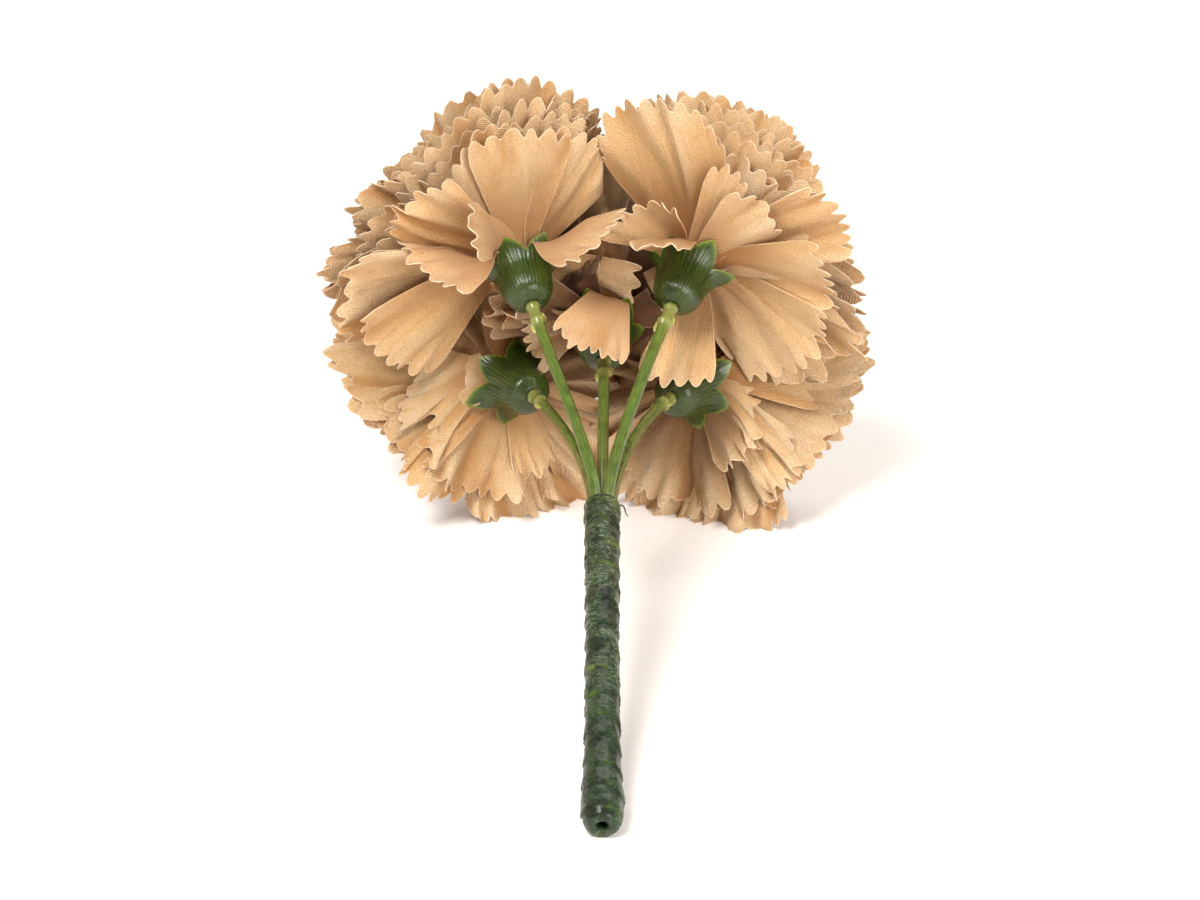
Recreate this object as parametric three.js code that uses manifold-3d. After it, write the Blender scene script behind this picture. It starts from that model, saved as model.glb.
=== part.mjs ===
// A bunch of five artificial carnations, lying on a table on its two lower heads and the end of its handle.
// Millimetres. The bunch's own frame has Y along the handle towards the heads, X to the right and Z up;
// the whole bunch is then tilted so that its heads stand off the table by their petals.
import * as THREE from 'three';
import { mergeVertices } from 'three/addons/utils/BufferGeometryUtils.js';
import Module from 'manifold-3d';

const wasm = await Module();
wasm.setup();

// Bunch
const BUNCH_TILT = THREE.MathUtils.degToRad(17.5);
const HANDLE_LENGTH = 109.5;
const HANDLE_END_HEIGHT = 3.2;
const SLAB_SIZE = 800;
const SLAB_DEPTH = 40;
const SHORTEST_EDGE = 0.08;

// Handle of wound tape: outer and inner radius at distances from its end
const TAPE_OUTER = [
  [1.3, 0.5], [2.6, 0], [3.9, 1.1], [4.6, 3.8], [4.7, 7.5], [4.25, 15], [3.95, 26], [3.85, 60],
  [4.0, 88], [4.35, 106], [4.3, HANDLE_LENGTH],
];
const TAPE_INNER = [[3.95, HANDLE_LENGTH], [3.8, 97], [3.42, 80], [3.42, 4.4], [2.7, 2.9], [1.3, 2.2]];
const TAPE_SIDES = 18;

// Stems: a ring of five at the mouth of the handle, closer together and thinner inside it
const RING_RADIUS_MOUTH = 2.3;
const RING_RADIUS_INSIDE = 2.02;
const STEM_RADIUS = 1.42;
const STEM_RADIUS_MOUTH = 1.2;
const STEM_RADIUS_INSIDE = 1.02;
const STEM_START = 5;
const STEM_SIDES = 8;
const STRAIGHT_STRETCH = [STEM_START, 30, 60, 88];
const PINCH_LENGTH = 24;
const LEAVING_PULL = 0.22;
const SEAT_PULL = 0.3;
const FREE_POINTS = 8;
const FREE_STATIONS = 7;
const FREE_START = 9;

// The knuckle below the cup, the collar under it, and the peg in it
const KNUCKLE_DISTANCE = 5.6;
const KNUCKLE_HALF = 0.7;
const KNUCKLE_SLOPE = 0.8;
const KNUCKLE_RADIUS = 2.15;
const COLLAR_RADIUS = 2.1;
const COLLAR_LENGTH = 0.9;
const COLLAR_SLOPE = 0.6;
const PEG_RADIUS = 1.6;
const PEG_LENGTH = 2.6;
const PEG_STEP = 0.05;
const SEAT_GAP = 0.3;

// Calyx cup, from its seat on the stem: radius and height
const CALYX_OUTER = [[1.95, 0], [2.7, 0], [2.8, 0.9], [5.1, 2.3], [6.5, 5.4], [6.85, 9]];
const CALYX_INNER = [[6.0, 8], [4.3, 4.2], [1.95, 2.4]];
const SEPALS = 6;
const SEPAL_VALLEY = [7.1, 10.8];
const SEPAL_TIP = [10.9, 15.6];
const SEPAL_INSET = [0.48, 0.32];
const SEPAL_COLUMNS = 4;

// Bloom: the core in the cup, then petals in layers from the back one to the heart
const CORE_PROFILE = [[0, 3.2], [3.6, 4.4], [5.5, 8], [5.7, 11], [4.2, 13.6], [1.4, 18.4], [0, 19.2]];
const CORE_SIDES = 12;
const PETAL_THICKNESS = 0.6;
const ROOT_HEIGHT = 11.5;
const ROOT_RISE = 1.4;
const ROOT_RADIUS = 4.7;
const ROOT_CLOSING = 0.85;
const ROOT_ANGLE = 12;
const ROOT_HALF_WIDTH = 1.2;
const FAN_POWER = 1.1;
const WIDEST_WRAP = 1.3;
const BEND_END = 0.27;
const TOOTH_DEPTH = 0.075;
const TEETH = 5;
const INNER_TEETH = 4;
const RIM_ROUNDING = 0.17;
const ROUNDING_POWER = 1.9;
const BEND_ROW = 0.2;
const MIDDLE_ROW = 0.52;
const INNER_BEND_ROW = 0.26;
const WAVE = 0.5;
const WAVES = 4.2;
const LAYER_TURN = 47;
const OUTER_HEAD_LAYERS = [
  { petals: 6, flare: 84, length: 48, halfWidth: 19 },
  { petals: 5, flare: 67, length: 48, halfWidth: 20 },
  { petals: 4, flare: 49, length: 46, halfWidth: 19 },
  { petals: 3, flare: 30, length: 44, halfWidth: 17 },
  { petals: 2, flare: 10, length: 41, halfWidth: 13 },
];
const HEART_LAYERS = [
  { petals: 5, flare: 60, length: 48, halfWidth: 18 },
  { petals: 4, flare: 46, length: 47, halfWidth: 18 },
  { petals: 3, flare: 28, length: 46, halfWidth: 17 },
  { petals: 2, flare: 10, length: 43, halfWidth: 13 },
];
const FINE_LAYERS = 2;
const LAYER_ALTERNATE = 6;
const PLACE_SPREAD = 0.35;
const LENGTH_SPREAD = 0.06;
const FLARE_SPREAD = 3;

// Room: how far a layer stays from the walls between two heads and from the table
const WALL_MARGIN = 0.55;
const FLOOR_MARGIN = 0.1;
const LAYER_MARGIN = 1.5;
const CROWDED = 26;
const SOFTNESS = 1.5;

// The five heads. seat: where the calyx sits, in the bunch's frame. spread and turn: how far the head leans
// off the bunch's axis, and to which side. ring: the stem's place in the handle. back: the petals of the
// back layer as [azimuth, length, flare, half width], with azimuth 0 to the right and 90 up.
const HEADS = [
  {
    name: 'upper_left', seat: [-17.8, 173.2, 14.9], spread: 21, turn: 132, ring: 126,
    twist: 21, sideReach: 0.09,
    back: [
      [88, 43, 72, 17], [141, 45, 86, 16], [184, 52, 95, 15], [229, 49, 99, 17],
      [23, 43, 98, 14], [322, 44, 102, 15], [275, 38, 66, 14],
    ],
  },
  {
    name: 'upper_right', seat: [17.8, 173.2, 14.4], spread: 25, turn: 38, ring: 54,
    twist: 31, sideReach: -0.02,
    back: [
      [112, 45, 74, 19], [62, 43, 82, 15], [166, 41, 96, 13], [12, 46, 88, 14],
      [329, 48, 96, 18], [276, 44, 106, 16], [226, 44, 102, 15],
    ],
  },
  {
    name: 'lower_left', seat: [-17.9, 173.2, -14.2], spread: 31, turn: 216, ring: 198,
    twist: 50, sideReach: 0.05,
    back: [
      [95, 46, 80, 16], [150, 46, 84, 17], [197, 48, 90, 17], [240, 45.4, 93, 18], [285, 42, 93, 17],
      [35, 44, 64, 15],
    ],
  },
  {
    name: 'lower_right', seat: [17.9, 173.2, -14.9], spread: 33, turn: 322, ring: 342,
    twist: 5, sideReach: 0.07,
    back: [
      [88, 46, 80, 16], [32, 46, 84, 17], [345, 48, 90, 17], [300, 45.4, 93, 18], [255, 41, 93, 17],
      [147, 44, 64, 15],
    ],
  },
  {
    name: 'centre', seat: [0.5, 170.5, -0.6], spread: 1, turn: 90, ring: 270,
    twist: 22, sideReach: 0.04,
    back: [
      [0, 50, 70, 16], [45, 46, 60, 14], [90, 44, 100, 12], [135, 46, 60, 14],
      [180, 50, 70, 16], [225, 46, 60, 14], [270, 50, 70, 16], [315, 46, 60, 14],
    ],
  },
];
const MIDDLE_X = 0.4;
const TIER_WALL_POINT = [22, 200, 0];
const TIER_WALL_LEAN = 35;
const TIER_WALL_SIDE = 0.3;
const HEART_WALL_DISTANCE = 14.5;
const HEART_WALL_HEIGHT = 188;
const HEART_WALL_LEAN = 17;

const petalFabric = new THREE.MeshStandardMaterial({ color: 0xd7aa78, roughness: 0.85, metalness: 0 });
const calyxPlastic = new THREE.MeshStandardMaterial({ color: 0x2c4a26, roughness: 0.35, metalness: 0 });
const stemPlastic = new THREE.MeshStandardMaterial({ color: 0x4f8a35, roughness: 0.35, metalness: 0 });
const floralTape = new THREE.MeshStandardMaterial({ color: 0x23462a, roughness: 0.6, metalness: 0 });

const rad = THREE.MathUtils.degToRad;
const smooth = (x) => THREE.MathUtils.smoothstep(x, 0, 1);

// Repeatable number from 0 to 1 for a head, a layer and a petal
function draw(head, layer, petal) {
  const value = Math.sin(head * 127.1 + layer * 311.7 + petal * 74.7 + 1.3) * 43758.5453;
  return value - Math.floor(value);
}

function closedGeometry(positions, indices) {
  const geometry = new THREE.BufferGeometry();
  geometry.setAttribute('position', new THREE.Float32BufferAttribute(positions, 3));
  geometry.setIndex(indices);
  return geometry;
}

function toSolid(geometry) {
  const bare = geometry.clone();
  bare.deleteAttribute('normal');
  bare.deleteAttribute('uv');
  const merged = mergeVertices(bare, 1e-4);
  return new wasm.Manifold(new wasm.Mesh({
    numProp: 3,
    vertProperties: new Float32Array(merged.attributes.position.array),
    triVerts: new Uint32Array(merged.index.array),
  }));
}

function toGeometry(solid) {
  const mesh = solid.simplify(SHORTEST_EDGE).getMesh();
  return closedGeometry(Array.from(mesh.vertProperties), Array.from(mesh.triVerts));
}

function largestBody(solid) {
  const bodies = solid.decompose();
  return bodies.reduce((best, body) => (body.volume() > best.volume() ? body : best));
}

// The head's frame: its seat, its axis, and two directions across the axis, right and up
function headFrame(head) {
  const spread = rad(head.spread);
  const turn = rad(head.turn);
  const axis = new THREE.Vector3(
    Math.sin(spread) * Math.cos(turn), Math.cos(spread), Math.sin(spread) * Math.sin(turn),
  );
  const right = new THREE.Vector3(1, 0, 0).addScaledVector(axis, -axis.x).normalize();
  const up = new THREE.Vector3().crossVectors(right, axis);
  return { seat: new THREE.Vector3(...head.seat), axis, right, up };
}

function pointInHead(frame, azimuth, radius, height) {
  return frame.seat.clone()
    .addScaledVector(frame.axis, height)
    .addScaledVector(frame.right, radius * Math.cos(azimuth))
    .addScaledVector(frame.up, radius * Math.sin(azimuth));
}

// The walls of a head's room: each has a unit normal into the room and an offset
function roomOf(head) {
  const walls = [];
  const isHeart = head.name === 'centre';
  const side = Math.sign(head.seat[0]);
  const tier = Math.sign(head.seat[2]);
  if (isHeart) {
    for (const x of [-1, 1]) {
      for (const z of [-1, 1]) {
        walls.push(heartWall(x, z, -1));
      }
    }
  } else {
    const lean = rad(TIER_WALL_LEAN);
    const tierNormal = new THREE.Vector3(side * TIER_WALL_SIDE, -Math.sin(lean), Math.cos(lean))
      .normalize().multiplyScalar(tier);
    const tierPoint = new THREE.Vector3(side * TIER_WALL_POINT[0], TIER_WALL_POINT[1], TIER_WALL_POINT[2]);
    walls.push(wallThrough(new THREE.Vector3(side, 0, 0), new THREE.Vector3(MIDDLE_X, 0, 0)));
    walls.push(wallThrough(tierNormal, tierPoint));
    walls.push(heartWall(side, tier, 1));
  }
  const tableNormal = new THREE.Vector3(0, Math.sin(BUNCH_TILT), Math.cos(BUNCH_TILT));
  const table = { normal: tableNormal, offset: -HANDLE_END_HEIGHT, margin: FLOOR_MARGIN };
  return [...walls, table];
}

function wallThrough(normal, point) {
  return { normal, offset: normal.dot(point), margin: WALL_MARGIN };
}

function heartWall(x, z, towards) {
  const lean = rad(HEART_WALL_LEAN);
  const across = new THREE.Vector3(x, 0, z).normalize();
  const normal = across.clone().multiplyScalar(Math.cos(lean));
  normal.y = -Math.sin(lean);
  const point = across.multiplyScalar(HEART_WALL_DISTANCE);
  point.y = HEART_WALL_HEIGHT;
  return wallThrough(normal.multiplyScalar(towards), point);
}

// The petal's line from root to rim: radius, height and angle off the head's axis, in even steps
const LINE_STEPS = 20;
const FREE_LINE_START = 4;
const NARROWEST_FLARE = 2;
const FLARE_STEP = 0.25;
const SLOPE_STEP = 0.015;

function petalLine(petal, flare) {
  const line = [];
  let radius = ROOT_RADIUS - ROOT_CLOSING * petal.layer;
  let height = ROOT_HEIGHT + ROOT_RISE * petal.layer;
  const step = petal.length / LINE_STEPS;
  for (let i = 0; i <= LINE_STEPS; i += 1) {
    const middle = (i + 0.5) / LINE_STEPS;
    const angle = rad(ROOT_ANGLE + (flare - ROOT_ANGLE) * smooth(middle / BEND_END));
    line.push({ radius, height, angle });
    radius += step * Math.sin(angle);
    height += step * Math.cos(angle);
  }
  return line;
}

function alongLine(line, s) {
  const place = Math.min(Math.max(s, 0), 1) * LINE_STEPS;
  const index = Math.min(Math.floor(place), LINE_STEPS - 1);
  const part = place - index;
  const from = line[index];
  const to = line[index + 1];
  return {
    radius: THREE.MathUtils.lerp(from.radius, to.radius, part),
    height: THREE.MathUtils.lerp(from.height, to.height, part),
    angle: THREE.MathUtils.lerp(from.angle, to.angle, part),
  };
}

// The widest flare at which the petal's line stays in the room, eased in softly
function flareInRoom(frame, room, petal, azimuth) {
  const fits = (flare) => petalLine(petal, flare).slice(FREE_LINE_START).every((station) => {
    const point = pointInHead(frame, azimuth, station.radius, station.height);
    const margin = petal.layer * LAYER_MARGIN;
    return room.every((wall) => wall.normal.dot(point) - wall.offset >= wall.margin + margin);
  });
  let low = NARROWEST_FLARE;
  let high = petal.flare + 3 * SOFTNESS;
  if (fits(high)) {
    low = high;
  }
  while (high - low > FLARE_STEP) {
    const middle = (low + high) / 2;
    if (fits(middle)) {
      low = middle;
    } else {
      high = middle;
    }
  }
  return petal.flare - SOFTNESS * Math.log1p(Math.exp((petal.flare - low) / SOFTNESS));
}

// A petal of an inner layer is left out where the heads press so close that it would only lie on others
function hasRoom(frame, room, petal) {
  return petal.layer < 1 || flareInRoom(frame, room, petal, rad(petal.azimuth)) > petal.flare - CROWDED;
}

// One petal: a fan with a toothed rim, closed, with the same triangles on both faces
function petalSolid(frame, room, petal) {
  const middleLine = petalLine(petal, flareInRoom(frame, room, petal, rad(petal.azimuth)));
  const lines = new Map();
  const lineAt = (t) => {
    const key = Math.round(t * 1000);
    if (!lines.has(key)) {
      const rim = alongLine(middleLine, 1);
      const azimuth = rad(petal.azimuth) + t * Math.min(petal.halfWidth / rim.radius, WIDEST_WRAP);
      lines.set(key, petalLine(petal, flareInRoom(frame, room, petal, azimuth)));
    }
    return lines.get(key);
  };
  const surface = (distance, t) => {
    const s = Math.max(distance, 0);
    const station = alongLine(lineAt(t), s);
    const width = THREE.MathUtils.lerp(ROOT_HALF_WIDTH, petal.halfWidth, s ** FAN_POWER);
    const wrap = Math.min(width / alongLine(middleLine, s).radius, WIDEST_WRAP);
    const azimuth = rad(petal.azimuth) + t * wrap;
    const wave = WAVE * s * s * Math.sin(WAVES * t + petal.phase);
    const radius = station.radius - wave * Math.cos(station.angle);
    const height = station.height + wave * Math.sin(station.angle);
    return pointInHead(frame, azimuth, radius, height);
  };
  const isFine = petal.layer < FINE_LAYERS;
  const rimColumns = 2 * (isFine ? TEETH : INNER_TEETH) + 1;
  const rows = [
    { count: 2, s: () => 0 },
    { count: 3, s: () => (isFine ? BEND_ROW : INNER_BEND_ROW) },
  ];
  if (isFine) {
    rows.push({ count: 5, s: (t) => MIDDLE_ROW * rimShape(t) });
  }
  rows.push({ count: rimColumns, s: (t, i) => rimShape(t) - (i % 2 === 0 ? TOOTH_DEPTH : 0) });
  const positions = [];
  const rowStarts = [];
  for (const row of rows) {
    rowStarts.push(positions.length / 6);
    for (let i = 0; i < row.count; i += 1) {
      const t = (2 * i) / (row.count - 1) - 1;
      const s = row.s(t, i);
      const point = surface(s, t);
      const along = surface(s + SLOPE_STEP, t).sub(surface(s - SLOPE_STEP, t));
      const across = surface(s, t + SLOPE_STEP).sub(surface(s, t - SLOPE_STEP));
      const normal = new THREE.Vector3().crossVectors(along, across).normalize();
      const half = normal.multiplyScalar(PETAL_THICKNESS / 2);
      positions.push(...point.clone().add(half).toArray(), ...point.clone().sub(half).toArray());
    }
  }
  const indices = [];
  const faces = (a, b, c) => {
    indices.push(2 * a, 2 * b, 2 * c, 2 * a + 1, 2 * c + 1, 2 * b + 1);
  };
  const wall = (a, b) => {
    indices.push(2 * a, 2 * b, 2 * b + 1, 2 * a, 2 * b + 1, 2 * a + 1);
  };
  for (let r = 0; r < rows.length - 1; r += 1) {
    const lower = rows[r].count - 1;
    const upper = rows[r + 1].count - 1;
    let i = 0;
    let j = 0;
    while (i < lower || j < upper) {
      const a = rowStarts[r] + i;
      const b = rowStarts[r + 1] + j;
      if (i < lower && (j === upper || (i + 0.5) / lower < (j + 0.5) / upper)) {
        faces(a, b, a + 1);
        i += 1;
      } else {
        faces(a, b, b + 1);
        j += 1;
      }
    }
    wall(rowStarts[r + 1], rowStarts[r]);
    wall(rowStarts[r] + lower, rowStarts[r + 1] + upper);
  }
  wall(0, 1);
  const rimStart = rowStarts[rows.length - 1];
  for (let j = 0; j < rimColumns - 1; j += 1) {
    wall(rimStart + j + 1, rimStart + j);
  }
  return toSolid(outward(closedGeometry(positions, indices)));
}

function rimShape(t) {
  return 1 - RIM_ROUNDING * Math.abs(t) ** ROUNDING_POWER;
}

// Turns a closed geometry's faces outward if its volume comes out negative
function outward(geometry) {
  const points = geometry.attributes.position;
  const index = geometry.index.array;
  const corner = (k) => new THREE.Vector3().fromBufferAttribute(points, index[k]);
  let volume = 0;
  for (let k = 0; k < index.length; k += 3) {
    volume += corner(k).dot(corner(k + 1).cross(corner(k + 2)));
  }
  if (volume < 0) {
    for (let k = 0; k < index.length; k += 3) {
      [index[k + 1], index[k + 2]] = [index[k + 2], index[k + 1]];
    }
  }
  return geometry;
}

// A surface turned about Y from a closed profile of [radius, height] at each column
function turnedRing(columns, profileAt) {
  const count = profileAt(0).length;
  const positions = [];
  const indices = [];
  for (let j = 0; j < columns; j += 1) {
    const angle = (2 * Math.PI * j) / columns;
    for (const [radius, height] of profileAt(j)) {
      positions.push(radius * Math.cos(angle), height, radius * Math.sin(angle));
    }
    for (let i = 0; i < count; i += 1) {
      const a = j * count + i;
      const b = j * count + ((i + 1) % count);
      const c = ((j + 1) % columns) * count + i;
      const d = ((j + 1) % columns) * count + ((i + 1) % count);
      indices.push(a, b, c, b, d, c);
    }
  }
  return outward(closedGeometry(positions, indices));
}

function calyxGeometry() {
  return turnedRing(SEPALS * SEPAL_COLUMNS, (column) => {
    const place = (column % SEPAL_COLUMNS) / SEPAL_COLUMNS;
    const tip = 1 - Math.abs(2 * place - 1);
    const edge = [
      THREE.MathUtils.lerp(SEPAL_VALLEY[0], SEPAL_TIP[0], tip),
      THREE.MathUtils.lerp(SEPAL_VALLEY[1], SEPAL_TIP[1], tip),
    ];
    const insideEdge = [edge[0] - SEPAL_INSET[0], edge[1] + SEPAL_INSET[1]];
    return [...CALYX_OUTER, edge, insideEdge, ...CALYX_INNER];
  });
}

// A rod along a line of stations, each with a point and a radius, with flat ends
function rodGeometry(curve, stations, sides) {
  const positions = [];
  const indices = [];
  let across = new THREE.Vector3(1, 0, 0);
  stations.forEach(({ place, radius }, k) => {
    const centre = curve.getPointAt(place);
    const along = curve.getTangentAt(place);
    across = across.clone().addScaledVector(along, -along.dot(across)).normalize();
    const up = new THREE.Vector3().crossVectors(along, across);
    for (let j = 0; j < sides; j += 1) {
      const angle = (2 * Math.PI * j) / sides;
      const point = centre.clone()
        .addScaledVector(across, radius * Math.cos(angle))
        .addScaledVector(up, radius * Math.sin(angle));
      positions.push(...point.toArray());
      if (k > 0) {
        const a = (k - 1) * sides + j;
        const b = (k - 1) * sides + ((j + 1) % sides);
        indices.push(a, b, a + sides, b, b + sides, a + sides);
      }
    }
  });
  const last = (stations.length - 1) * sides;
  for (let j = 1; j < sides - 1; j += 1) {
    indices.push(0, j + 1, j, last, last + j, last + j + 1);
  }
  return outward(closedGeometry(positions, indices));
}

function stemCurve(head) {
  const ring = rad(head.ring);
  const inHandle = (radius, y) => new THREE.Vector3(radius * Math.cos(ring), y, radius * Math.sin(ring));
  const { seat, axis } = headFrame(head);
  const mouth = inHandle(RING_RADIUS_MOUTH, HANDLE_LENGTH);
  const end = seat.clone().addScaledVector(axis, PEG_LENGTH);
  const free = mouth.distanceTo(end);
  const spreadLine = new THREE.CubicBezierCurve3(
    mouth,
    mouth.clone().add(new THREE.Vector3(0, free * LEAVING_PULL, 0)),
    end.clone().addScaledVector(axis, -free * SEAT_PULL),
    end,
  );
  const straight = STRAIGHT_STRETCH.map((y) => inHandle(RING_RADIUS_INSIDE, y));
  const points = [...straight, ...spreadLine.getPoints(FREE_POINTS)];
  return new THREE.CatmullRomCurve3(points, false, 'centripetal');
}

function stemGeometry(head) {
  const curve = stemCurve(head);
  const length = curve.getLength();
  const seatPlace = length - PEG_LENGTH;
  const mouthPlace = HANDLE_LENGTH - STEM_START;
  const stations = [];
  const add = (distance, radius) => stations.push({ place: distance / length, radius });
  add(0, STEM_RADIUS_INSIDE);
  add(mouthPlace - PINCH_LENGTH, STEM_RADIUS_INSIDE);
  add(mouthPlace, STEM_RADIUS_MOUTH);
  const knuckle = seatPlace - KNUCKLE_DISTANCE;
  const freeEnd = knuckle - KNUCKLE_HALF - KNUCKLE_SLOPE;
  for (let i = 0; i < FREE_STATIONS; i += 1) {
    const share = i / (FREE_STATIONS - 1);
    add(THREE.MathUtils.lerp(mouthPlace + FREE_START, freeEnd, share), STEM_RADIUS);
  }
  add(knuckle - KNUCKLE_HALF, KNUCKLE_RADIUS);
  add(knuckle + KNUCKLE_HALF, KNUCKLE_RADIUS);
  add(knuckle + KNUCKLE_HALF + KNUCKLE_SLOPE, STEM_RADIUS);
  const collarTop = seatPlace - SEAT_GAP;
  add(collarTop - COLLAR_LENGTH - COLLAR_SLOPE, STEM_RADIUS);
  add(collarTop - COLLAR_LENGTH, COLLAR_RADIUS);
  add(collarTop, COLLAR_RADIUS);
  add(collarTop + PEG_STEP, PEG_RADIUS);
  add(length, PEG_RADIUS);
  return rodGeometry(curve, stations, STEM_SIDES);
}

function tapeGeometry() {
  const profile = [...TAPE_OUTER, ...TAPE_INNER];
  return turnedRing(TAPE_SIDES, () => profile);
}

// A head's petals. Every other petal of a layer lies half a layer further in.
function petalsOf(head, headIndex) {
  const petals = head.back.map(([azimuth, length, flare, halfWidth], i) => {
    const phase = 2 * Math.PI * draw(headIndex, 0, i);
    return { azimuth, length, flare, halfWidth, layer: (i % 2) / 2, phase };
  });
  const layers = head.name === 'centre' ? HEART_LAYERS : OUTER_HEAD_LAYERS;
  layers.forEach((layer, k) => {
    for (let i = 0; i < layer.petals; i += 1) {
      const [placeDraw, lengthDraw, flareDraw, phaseDraw] = [0, 20, 40, 60].map(
        (offset) => draw(headIndex, k + 1, i + offset),
      );
      const spot = (i + PLACE_SPREAD * (placeDraw - 0.5)) / layer.petals;
      const azimuth = head.twist + LAYER_TURN * k + 360 * spot;
      const reach = 1 + LENGTH_SPREAD * (lengthDraw - 0.5) + head.sideReach * Math.cos(2 * rad(azimuth));
      petals.push({
        azimuth,
        length: layer.length * reach,
        flare: layer.flare - LAYER_ALTERNATE * (i % 2) + FLARE_SPREAD * (flareDraw - 0.5),
        halfWidth: layer.halfWidth,
        layer: k + 1 + (i % 2) / 2,
        phase: 2 * Math.PI * phaseDraw,
      });
    }
  });
  return petals;
}

function bloomSolid(head, headIndex) {
  const frame = headFrame(head);
  const room = roomOf(head);
  const profile = CORE_PROFILE.map(([radius, height]) => new THREE.Vector2(radius, height));
  const core = new THREE.LatheGeometry(profile, CORE_SIDES).applyMatrix4(headMatrix(head));
  const petals = petalsOf(head, headIndex).filter((petal) => hasRoom(frame, room, petal));
  const solids = petals.map((petal) => petalSolid(frame, room, petal));
  return solids.reduce((whole, petal) => whole.add(petal), toSolid(outward(mergedGeometry(core))));
}

function mergedGeometry(geometry) {
  geometry.deleteAttribute('normal');
  geometry.deleteAttribute('uv');
  return mergeVertices(geometry, 1e-4);
}

// From a head's own Y-up frame to the bunch's frame
function headMatrix(head) {
  const { seat, axis, right, up } = headFrame(head);
  return new THREE.Matrix4().makeBasis(right, axis, up).setPosition(seat);
}

// What lies below the table, in the bunch's frame
function belowTable() {
  const slab = new THREE.BoxGeometry(SLAB_SIZE, SLAB_SIZE, SLAB_DEPTH);
  slab.translate(0, 0, -SLAB_DEPTH / 2 - HANDLE_END_HEIGHT);
  slab.applyMatrix4(new THREE.Matrix4().makeRotationX(-BUNCH_TILT));
  return toSolid(slab);
}

const bunch = new THREE.Group();

function place(name, geometry, material) {
  const mesh = new THREE.Mesh(geometry, material);
  mesh.name = name;
  bunch.add(mesh);
  return mesh;
}

const table = belowTable();
place('tape_wrap', toGeometry(toSolid(tapeGeometry()).subtract(table)), floralTape);

for (const head of HEADS) {
  place(`stem_${head.name}`, stemGeometry(head), stemPlastic);
  const calyx = place(`calyx_${head.name}`, calyxGeometry(), calyxPlastic);
  calyx.applyMatrix4(headMatrix(head));
}

HEADS.forEach((head, i) => {
  const bloom = bloomSolid(head, i).subtract(table);
  place(`bloom_${head.name}`, toGeometry(largestBody(bloom)), petalFabric);
});

bunch.rotation.x = BUNCH_TILT;
bunch.updateMatrixWorld(true);
const box = new THREE.Box3().setFromObject(bunch, true);
bunch.position.set(-(box.min.x + box.max.x) / 2, -(box.min.y + box.max.y) / 2, -box.min.z);

const group = new THREE.Group();
group.add(bunch);

export default group;
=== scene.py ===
"""A bunch of five artificial carnations on a pale table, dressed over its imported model.

The plans below are in millimetres in the bunch's own frame: its origin is the middle of the handle's end, Y
runs along the handle towards the heads, X to the right and Z up. A head has a frame of its own, with its axis
out of the cup and azimuths counted from the right, 90 being up. Meshes are made in metres in the row frame.
"""

import logging
import math
from dataclasses import dataclass
from enum import Enum

import bpy
import numpy as np
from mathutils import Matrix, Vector, noise


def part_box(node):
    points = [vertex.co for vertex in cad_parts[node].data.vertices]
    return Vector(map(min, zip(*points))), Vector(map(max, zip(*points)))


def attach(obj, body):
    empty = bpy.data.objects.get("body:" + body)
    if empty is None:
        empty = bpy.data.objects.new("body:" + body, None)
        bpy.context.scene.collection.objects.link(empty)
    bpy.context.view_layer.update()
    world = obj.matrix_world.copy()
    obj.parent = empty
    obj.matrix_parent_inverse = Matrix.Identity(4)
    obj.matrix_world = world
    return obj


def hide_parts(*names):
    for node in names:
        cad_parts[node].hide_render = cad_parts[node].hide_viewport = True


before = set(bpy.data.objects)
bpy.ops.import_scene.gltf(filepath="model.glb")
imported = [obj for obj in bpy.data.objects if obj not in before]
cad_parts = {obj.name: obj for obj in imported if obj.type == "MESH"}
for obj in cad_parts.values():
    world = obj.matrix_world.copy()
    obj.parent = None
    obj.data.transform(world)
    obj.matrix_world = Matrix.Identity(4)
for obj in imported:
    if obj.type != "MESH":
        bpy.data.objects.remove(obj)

log = logging.getLogger("carnations")

Pair = tuple[float, float]
Triple = tuple[float, float, float]
Colour = tuple[int, int, int]
Socket = bpy.types.NodeSocket

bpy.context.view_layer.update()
BODY = "root"
MM = 0.001
TAU = 2 * math.pi
SHORTEST = 1e-12
PLEAT_TIGHTNESS = 0.93
SHARP_ANGLE = 60
ROOT_ANGLE = 12.0


def smooth(x: np.ndarray | float) -> np.ndarray:
    """Smooth step from 0 at 0 to 1 at 1, and flat beyond."""
    x = np.clip(x, 0.0, 1.0)
    return x * x * (3 - 2 * x)


def rise(x: np.ndarray | float, start: float, span: float) -> np.ndarray:
    """Smooth step from 0 at start to 1 a span later."""
    return smooth((x - start) / span)


def lerp(low: float, high: float, share: np.ndarray | float) -> np.ndarray:
    """Value between low and high at a share of the way."""
    return low + (high - low) * share


def pleat(x: np.ndarray) -> np.ndarray:
    """Wave of period 1 with nearly straight sides and tight crests, from -1 to 1."""
    return np.arcsin(PLEAT_TIGHTNESS * np.sin(TAU * x)) / math.asin(PLEAT_TIGHTNESS)


def unit(vectors: np.ndarray) -> np.ndarray:
    """Vectors scaled to length 1 along the last axis."""
    return vectors / np.maximum(np.linalg.norm(vectors, axis=-1, keepdims=True), SHORTEST)


def circle(count: int) -> np.ndarray:
    """Angles of points spaced evenly round a circle."""
    return TAU * np.arange(count) / count


def both_ways(theta: np.ndarray) -> np.ndarray:
    """Angles counted both ways from the first, so that a cloth coordinate made from them has no jump."""
    return np.minimum(theta, TAU - theta)


def around(azimuth: np.ndarray, values: tuple[float, ...]) -> np.ndarray:
    """Values given at even steps round a circle, read at azimuths in radians."""
    return np.interp(azimuth, circle(len(values)), values, period=TAU)


def bell(x: np.ndarray | float, width: float) -> np.ndarray:
    """Bell curve of height 1 round 0."""
    return np.exp(-((x / width) ** 2))


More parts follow.
